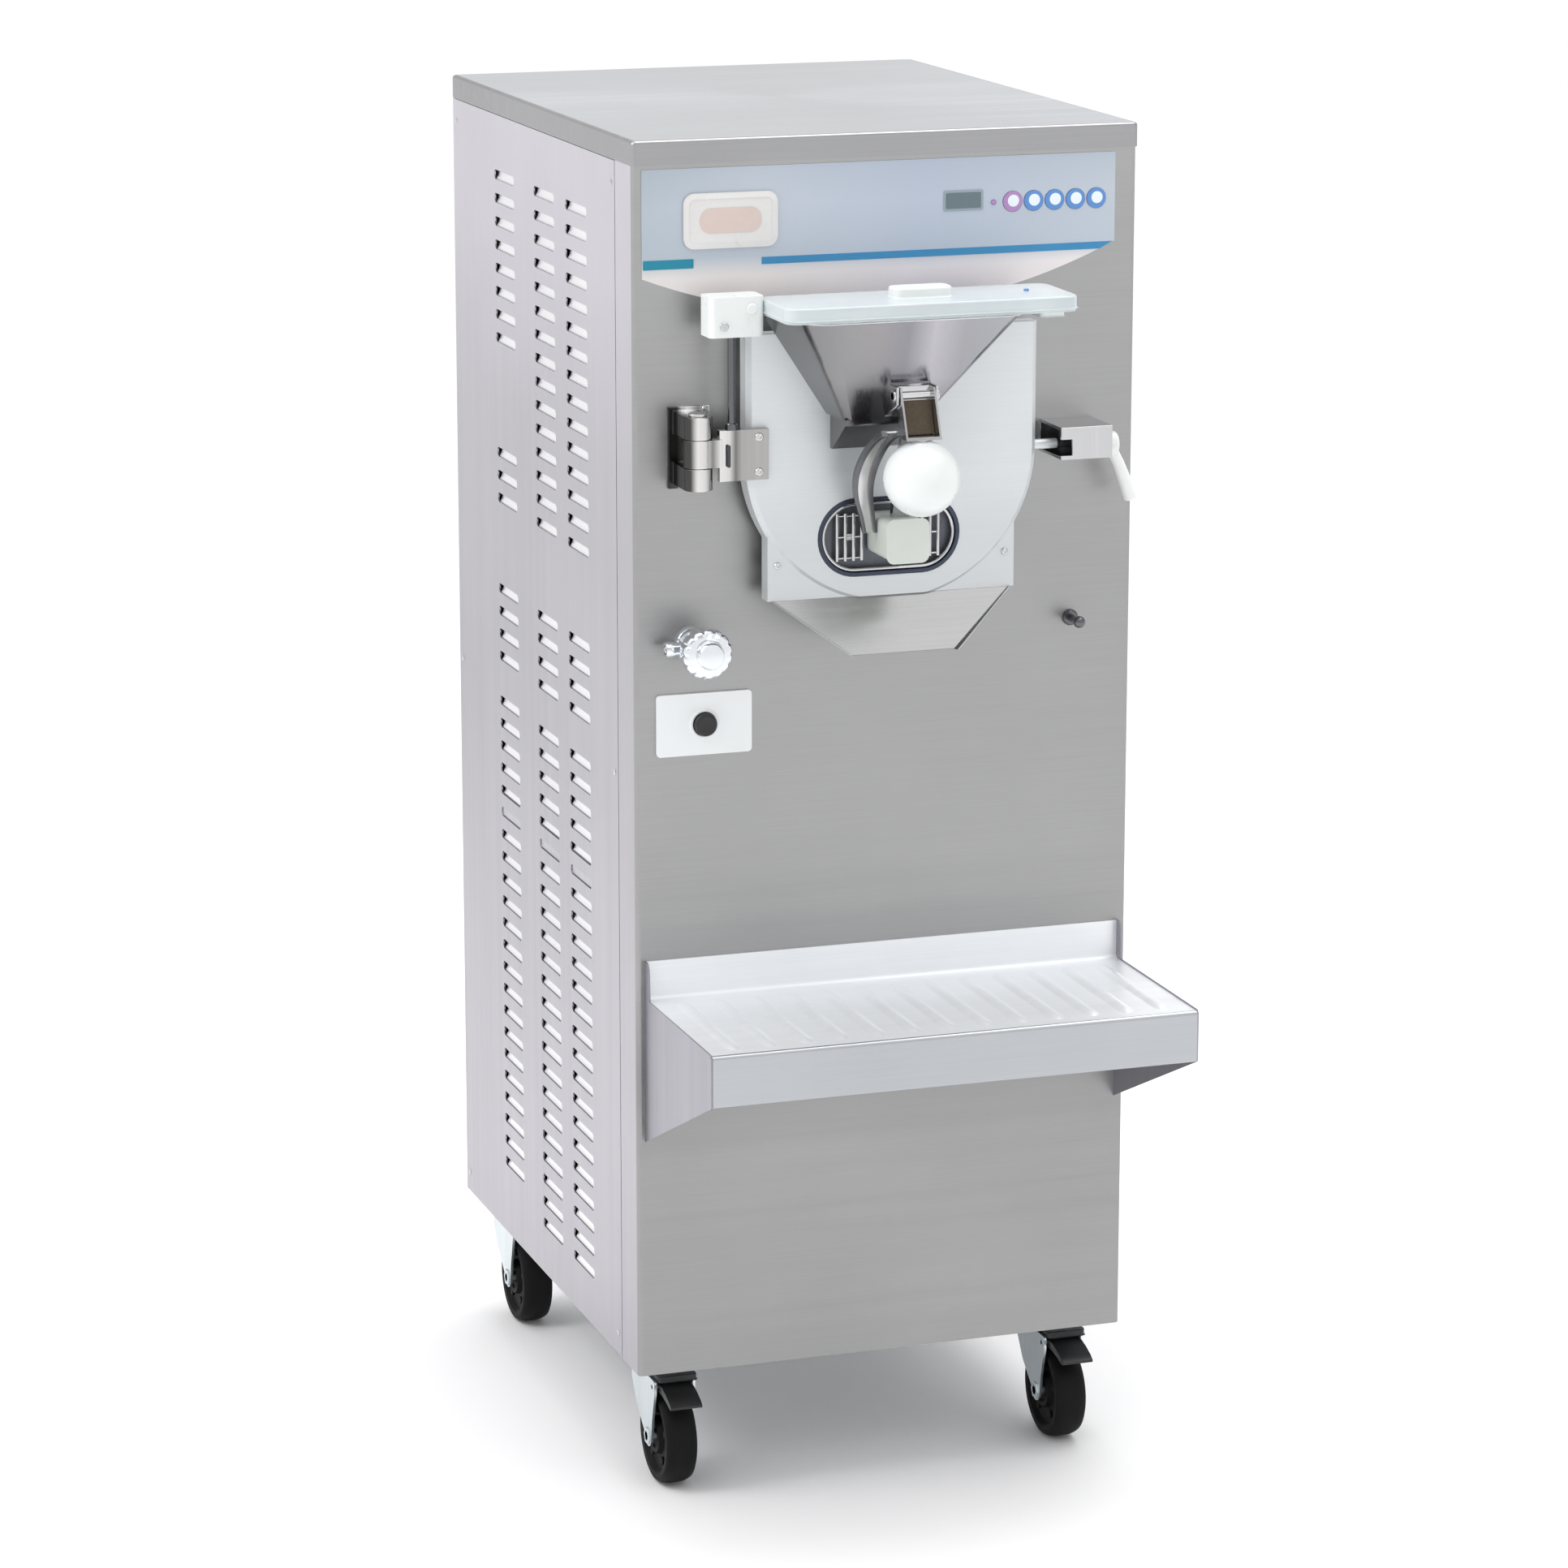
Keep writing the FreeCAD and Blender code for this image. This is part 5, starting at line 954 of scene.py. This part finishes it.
def lever_strap():
    """Curved channel strap from the lever's side down past the ball to the plug's side."""
    stations = [Vector(v) for v in (
        (-40, 10, -124, 1106), (-45, 10, -112, 1098), (-49, 11, -92, 1080), (-51, 11, -76, 1058),
        (-49, 10, -66, 1036), (-43, 8, -60, 1014), (-39, 7.5, -58, 996))]
    ends = [stations[0]] + stations + [stations[-1]]
    path = []
    for a, b, c, d in zip(ends, ends[1:], ends[2:], ends[3:]):
        for i in range(4):
            t = i / 4
            path.append((b * 2 + (c - a) * t + (a * 2 - b * 5 + c * 4 - d) * t * t
                         + (b * 3 - a - c * 3 + d) * t ** 3) / 2)
    path.append(stations[-1])
    web = ribbon(bmesh.new(), path, -0.7, 0.7, 0.0, 1.6)
    extra("strap_web", web, "extraction_lever", "polished_steel", sharp=50)
    # the flanges take the dark rod steel as painted shade along the strap's edges
    edges = ribbon(bmesh.new(), path, -1.0, -0.52, -0.6, 4.5)
    ribbon(edges, path, 0.52, 1.0, -0.6, 4.5)
    extra("strap_edges", edges, "extraction_lever", "rod_steel", bevel=0.5, sharp=50,
          bevel_angle=50)


def ball():
    """Round knob with a short collar around the lever's stem."""
    low, high = box_mm("ball_knob")
    mid = (low + high) / 2
    radius = (high.x - low.x) / 2 - 0.01
    mid.z = low.z + radius + 0.01
    profile = arc(0, mid.z, radius, -90, 75, 33)
    neck = profile[-1][1]
    profile += [(10.2, neck + 0.6), (9.4, neck + 0.6), (0, neck - 0.4)]
    bm = spun(profile, "z", mid.xy, 72)
    stands("ball_knob_round", bm, "ball_knob", sharp=70)


def plug():
    """The block that closes the outlet."""
    low, high = box_mm("gate_plug")
    bm = raised(outline_of(low, high, "y", 0, 6, 6), "y", low.y, high.y)
    stands("gate_plug_block", bm, "gate_plug", bevel=2.0, segments=3)


lever_parts()
lever_strap()
ball()
plug()

# ---- tap, switch and hook


def tap_parts():
    """Stem with a nozzle to the left, and a fluted round knob."""
    low, high = box_mm("tap_body")
    x, z = centre_mm("tap_knob").xz
    nozzle = (-22, z)
    bm = spun([(0, high.y), (11, high.y), (11, 0), (17, 0), (17, -4), (15.5, -6), (12.5, -6),
               (12.5, -9), (11, -10), (11, -33), (9.5, -36.2), (5, -36.2), (5, -55), (0, -55)],
              "y", (x, z), 64)
    turned(bm, [(0, low.x + 2), (4.2, low.x + 2), (4.4, low.x), (6.6, low.x), (7.6, low.x + 1.5),
                (7.6, low.x + 8), (6.6, low.x + 9.5), (6.6, x), (0, x)], "x", nozzle, 40)
    stands("tap_stem", bm, "tap_body", sharp=40)
    back = box_mm("tap_knob")[1].y
    flutes = 14
    profile = [(5.2, back), (21, back), (24, back - 2), (25, back - 5), (25, -55), (24, -58),
               (21.5, -60), (16.5, -60), (14, -61.5), (13.6, -66), (12, -68.4), (8, -69), (0, -69),
               (0, -59.5), (5.2, -59.5)]
    bm = spun(profile, "y", (x, z), flutes * 8)
    for v in bm.verts:
        radial = Vector((v.co.x - x, v.co.z - z))
        if 23.5 < radial.length and -58.5 < v.co.y < back - 1:
            angle = math.atan2(radial.y, radial.x)
            dent = 1.5 * max(0.0, math.cos(angle * flutes)) ** 2
            radial *= (radial.length - dent) / radial.length
            v.co.x, v.co.z = x + radial.x, z + radial.y
    stands("tap_knob_fluted", bm, "tap_knob", sharp=40)


def switch_parts():
    """White plate with a collar around the black push button."""
    low, high = box_mm("switch_plate")
    mid = centre_mm("push_button")
    bm = raised(outline_of(low, high, "y", 0, 4, 6), "y", low.y, high.y)
    hole = spun([(0, low.y - 2), (12, low.y - 2), (12, high.y + 2), (0, high.y + 2)], "y",
                mid.xz, 48)
    stands("switch_cover", carved(bm, hole), "switch_plate", bevel=0.8, segments=3)
    ring = spun([(12, low.y), (15.5, low.y), (15.2, low.y - 1.2), (14, low.y - 1.8),
                 (12.4, low.y - 1.6), (12, low.y - 0.8)], "y", mid.xz, 48)
    extra("switch_ring", ring, "switch_plate", "switch_white", sharp=50)
    front, back = [corner.y for corner in box_mm("push_button")]
    cap = spun([(0, back), (11, back), (11.5, back - 1), (11.5, front + 2.2), (10.6, front + 0.6),
                (8.5, front), (7.5, front + 0.5), (0, front + 0.9)], "y", mid.xz, 48)
    stands("button_cap", cap, "push_button", sharp=45)


def hook():
    """Peg with a ball at its end."""
    mid = centre_mm("hose_hook")
    bm = spun([(0, 0), (8, 0), (8, -2.6), (6.8, -4), (3.6, -4), (3.5, -20), (0, -20)], "y",
              mid.xz, 40)
    turned(bm, arc(0, -26, 6, 90, -90, 15), "y", mid.xz, 32)
    stands("hook_peg", bm, "hose_hook", "rod_steel", sharp=45)


tap_parts()
switch_parts()
hook()

# ---- shelf


def shelf_skin():
    """Bent-sheet shelf with soft ribs pressed up between flat lands."""
    half, top, upstand, sheet, corner = 250.0, 528.0, 567.0, 1.5, 4.0
    tip = -213.0
    bend = tip + corner
    # folded top: upstand, bend and flat
    fold = ([(0.0, upstand), (-sheet, upstand), (-sheet, top + corner)]
            + arc(-sheet - corner, top + corner, corner, -15, -90, 5)
            + [(bend, top), (bend, top - sheet), (0.0, top - sheet)])
    # the top and its ribs take a lighter copy of the shelf's steel as painted light
    stands("shelf_sheet", raised(fold, "x", -half, half), "shelf", "shelf_steel_painted_light", sharp=40)
    # rolled lip and its return
    fold = ([(bend + 0.05, top)] + arc(bend, top - corner, corner, 100, 180, 8) + [(tip, 478.0)]
            + arc(tip + 2, 478, 2, 195, 270, 3)
            + [(tip + 12, 476.0), (tip + 12, 477.5), (tip + 3, 477.5), (tip + sheet, 479.0),
               (tip + sheet, top - corner), (bend + 0.05, top - sheet)])
    # the lip takes a darker copy of the shelf's steel as painted shade
    extra("shelf_lip", raised(fold, "x", -half, half), "shelf", "lip_steel_painted_shade", sharp=40)
    cheeks = bmesh.new()
    face = tip + 0.5
    profile = [(0, 381), (0, upstand), (-8, upstand), (-12, 560), (-14, top + 1),
               (face + 3, top + 1), (face, top - 3), (face, 476.5)]
    for x in (-half - 2, half):
        prism(cheeks, profile, "x", x, x + 2)
    # the cheeks take a darker copy of the shelf's steel as painted shade
    extra("shelf_cheeks", cheeks, "shelf", "cheek_steel_painted_shade", bevel=0.4, segments=2, bevel_angle=60)
    # ribs that sink and narrow over the last millimetres of each end
    rib_front, rib_back, pitch, half_width, height, run_out = -196.0, -24.0, 37, 8.3, 2.5, 8
    along, across = 24, 10
    ribs = bmesh.new()
    for number in range(-6, 7):
        grid = []
        for i in range(along + 1):
            t = i / along
            y = rib_front + (rib_back - rib_front) * t
            ends = min(t, 1 - t) * (rib_back - rib_front)
            swell = math.sqrt(max(0.0, 1 - max(0.0, 1 - ends / run_out) ** 2))
            width = half_width * (0.55 + 0.45 * swell)
            row = []
            for j in range(across + 1):
                s = -1 + 2 * j / across
                crown = height * swell * math.cos(s * math.pi / 2) ** 1.2
                row.append(ribs.verts.new((pitch * number + s * width, y, top - 0.05 + crown)))
            grid.append(row)
        for one, other in zip(grid, grid[1:]):
            for j in range(across):
                ribs.faces.new((one[j], one[j + 1], other[j + 1], other[j]))
    extra("shelf_ribs", ribs, "shelf", "shelf_steel_painted_light", sharp=70)


shelf_skin()

# ---- rear fittings


def fittings():
    """Two threaded water couplings with six screws each, and a hexagonal cable gland."""
    low, high = box_mm("rear_fittings")
    level = 560
    bm = bmesh.new()
    for x in (-60, 60):
        profile = [(9.2, low.y), (17.2, low.y), (17.2, low.y + 4), (13.0, low.y + 4)]
        y = low.y + 5
        while y < high.y - 2:
            profile += [(12.2, y), (13.2, y + 0.9)]
            y += 1.8
        profile += [(12.4, high.y - 0.6), (12.0, high.y), (9.2, high.y)]
        turned(bm, profile, "y", (x, level), 64)
        for n in range(6):
            a = math.radians(60 * n)
            turned(bm, rounded_end(2.0, low.y + 3, low.y + 4.2, 0.5), "y",
                   (x + 15 * math.cos(a), level + 15 * math.sin(a)), 12)
    stands("water_couplings", bm, "rear_fittings", sharp=25)
    gland = spun([(5, low.y), (13, low.y), (13, low.y + 6), (11, low.y + 6), (10, low.y + 8),
                  (10, high.y - 4), (8, high.y), (5, high.y)], "y", (170, level), 6)
    extra("cable_gland", gland, "rear_fittings", "black_plastic", bevel=0.5)


fittings()

# ---- casters


def caster(place, braked):
    """Wheel, fork and plate bolts; a braked caster also has a hood and a pedal."""
    hub = centre_mm(f"caster_wheel_{place}")
    x = hub.x
    y = hub.y + 30  # the swivel's axis stands behind the hub by the trail
    pedal_axle = (y - 44, 107)
    # wheel: crowned tread on a dished core
    radius, half = 49.98, 17.0
    tread = [(radius - 3.2 * abs(s) ** 3.2, x + s * (half - 1.5))
             for s in [-1 + i / 6 for i in range(13)]]
    # radius and depth below the wheel's side face, from the bore out
    dish = [(6.1, 3), (12, 3), (13.5, 1), (18, 1), (20, 6), (36, 6), (39, 1.2), (44.5, 0.4)]
    profile = ([(r, x - half + depth) for r, depth in dish] + tread
               + [(r, x + half - depth) for r, depth in reversed(dish)])
    bm = spun(profile, "x", hub.yz, 72)
    for n in range(5):
        a = 2 * math.pi * n / 5 + 0.3
        for low_x in (x - half + 3.5, x + half - 6):
            turned(bm, rounded_end(4.2, low_x, low_x + 2.5, 1.0), "x",
                   (hub.y + 28 * math.cos(a), hub.z + 28 * math.sin(a)), 16)
    stands(f"wheel_{place}", bm, f"caster_wheel_{place}", sharp=40)
    # fork: pressed sheet with tapered legs, kingpin, axle and nuts, under a round swivel head
    bm = bmesh.new()
    leg = [(y + 24, 114.4), (y - 50, 114.4), (y - 52, 112), (y - 52, 102), (y - 43, 68)]
    leg += arc(hub.y, hub.z, 10.5, 180, 360, 12)
    leg += [(y + 8, 72), (y + 24, 95)]
    for low_x in (x - 22, x + 19):
        prism(bm, leg, "x", low_x, low_x + 3)
    prism(bm, round_rect(x - 22, y - 26, x + 22, y + 26, 6, 5), "z", 113, 116)
    turned(bm, rounded_end(5.9, 113, 131, 1), "z", (x, y), 32)
    head = bmesh.new()
    turned(head, rounded_end(30, 113, 118.5, 2), "z", (x, y), 56)
    turned(head, rounded_end(27, 118, 120.7, 1), "z", (x, y), 56)
    extra(f"swivel_head_{place}", head, f"caster_fork_{place}",
          "black_plastic" if braked else "zinc", sharp=40)
    turned(bm, rounded_end(5.9, x - 24, x + 24, 1.2), "x", hub.yz, 32)
    for low_x in (x - 24, x + 21.5):
        turned(bm, rounded_end(9.5, low_x, low_x + 2.5, 1.0), "x", hub.yz, 6)
    if braked:
        turned(bm, rounded_end(2.9, x - 22, x + 22, 0.6), "x", pedal_axle, 20)
        hood = raised(round_rect(x - 18.6, y - 54, x + 23.6, y - 22, 5, 5), "z", 113.2, 120)
        extra(f"brake_hood_{place}", hood, f"caster_fork_{place}", "black_plastic", bevel=1.2,
              segments=3)
    stands(f"fork_{place}", bm, f"caster_fork_{place}", bevel=0.5, segments=2, sharp=40,
           bevel_angle=50)
    bolts = bmesh.new()
    for dx in (-27, 27):
        for dy in (-27, 27):
            turned(bolts, rounded_end(6, 125.2, 129.2, 1.0), "z", (x + dx, y + dy), 6)
    extra(f"plate_bolts_{place}", bolts, "caster_plates", "polished_steel", bevel=0.4)
    if not braked:
        return
    # pedal: black housing over the wheel with a foot tab
    bm = bmesh.new()
    outline = [(y - 33.4, 102.8), (y - 61, 102.6), (y - 76, 100), (y - 88, 96.6), (y - 91.6, 97),
               (y - 92, 99.6), (y - 86, 103.5), (y - 72, 108.6), (y - 60, 111.2), (y - 34, 111.2)]
    prism(bm, outline, "x", x - 16.8, x + 16.8)
    hole = spun([(0, x - 20), (3.1, x - 20), (3.1, x + 20), (0, x + 20)], "x", pedal_axle, 24)
    side_name = place.split("_")[1]
    stands(f"pedal_{side_name}", carved(bm, hole), f"brake_pedal_{side_name}", bevel=1.4, segments=3,
           bevel_angle=40)
    grips = bmesh.new()
    for back in (68, 73, 78, 83):
        level = 108.4 - (back - 68) * 0.36
        wire(grips, [(x - 14, y - back, level), (x + 14, y - back, level)], 0.9, 8)
    extra(f"pedal_ribs_{side_name}", grips, f"brake_pedal_{side_name}", "black_plastic")


for place in ("front_left", "front_right", "rear_left", "rear_right"):
    caster(place, place.startswith("front"))

# ---- floor, light and camera


def studio():
    """White floor, a sky with a grey band over its white horizon, and three soft lights."""
    floor_bm = bmesh.new()
    bmesh.ops.create_grid(floor_bm, x_segments=1, y_segments=1, size=200)
    mesh = bpy.data.meshes.new("studio_floor")
    floor_bm.to_mesh(mesh)
    floor_bm.free()
    tree, shader = tree_of("studio_floor")
    clouds = noise(tree, coords(tree), 1.2, 2.0, 0.5)
    shade = ramp(tree, clouds, ((0.3, (0.93,) * 3), (0.7, (0.95,) * 3)))
    link(tree, shade, shader.inputs["Base Color"])
    fill(shader, Roughness=0.75)
    mesh.materials.append(MATERIALS["studio_floor"])
    floor = bpy.data.objects.new("studio_floor", mesh)
    bpy.context.scene.collection.objects.link(floor)

    world = bpy.data.worlds.new("studio")
    bpy.context.scene.world = world
    world.use_nodes = True
    tree = world.node_tree
    split = added(tree, "SeparateXYZ")
    link(tree, added(tree, "TexCoord").outputs["Generated"], split.inputs["Vector"])
    sky = ramp(tree, split.outputs["Z"], (
        (0.0, (1.0, 1.0, 1.0)), (0.16, (1.0, 1.0, 1.0)), (0.26, (0.62, 0.62, 0.63)),
        (0.55, (0.62, 0.62, 0.63)), (0.75, (1.36, 1.36, 1.36))))
    link(tree, sky, tree.nodes["Background"].inputs["Color"])
    fill(tree.nodes["Background"], Strength=1.03)

    for name, place, aim, size, power, tint in (
            ("softbox_top", (0.8, 0.2, 4.2), (0, 0, 0.6), 2.6, 60, (1, 1, 1)),
            ("softbox_left", (-2.2, -0.2, 2.4), (-0.26, 0.1, 1.35), 1.2, 26, (1, 0.985, 1)),
            ("softbox_front", (1.6, -4.2, 2.4), (0, 0, 0.9), 1.8, 6, (1, 1, 1))):
        data = bpy.data.lights.new(name, "AREA")
        data.shape = "SQUARE"
        data.size = size
        data.energy = power
        data.color = tint
        lamp = bpy.data.objects.new(name, data)
        lamp.location = place
        lamp.rotation_mode = "QUATERNION"
        lamp.rotation_quaternion = (Vector(aim) - Vector(place)).to_track_quat("-Z", "Y")
        bpy.context.scene.collection.objects.link(lamp)


def camera():
    """A long lens from the front left, a little above."""
    data = bpy.data.cameras.new("camera")
    data.sensor_width = 36
    data.lens = 121.7
    data.shift_x = 0.0072
    data.shift_y = -0.0387
    data.clip_start = 0.1
    data.clip_end = 500
    cam = bpy.data.objects.new("camera", data)
    cam.location = (-1.7411, -5.0575, 1.9625)
    pitch, yaw = math.radians(12.869), math.radians(18.575)
    cam.rotation_euler = Euler((math.pi / 2 - pitch, 0, -yaw), "XYZ")
    bpy.context.scene.collection.objects.link(cam)
    bpy.context.scene.camera = cam


studio()
camera()
bpy.context.scene.view_settings.view_transform = "Standard"
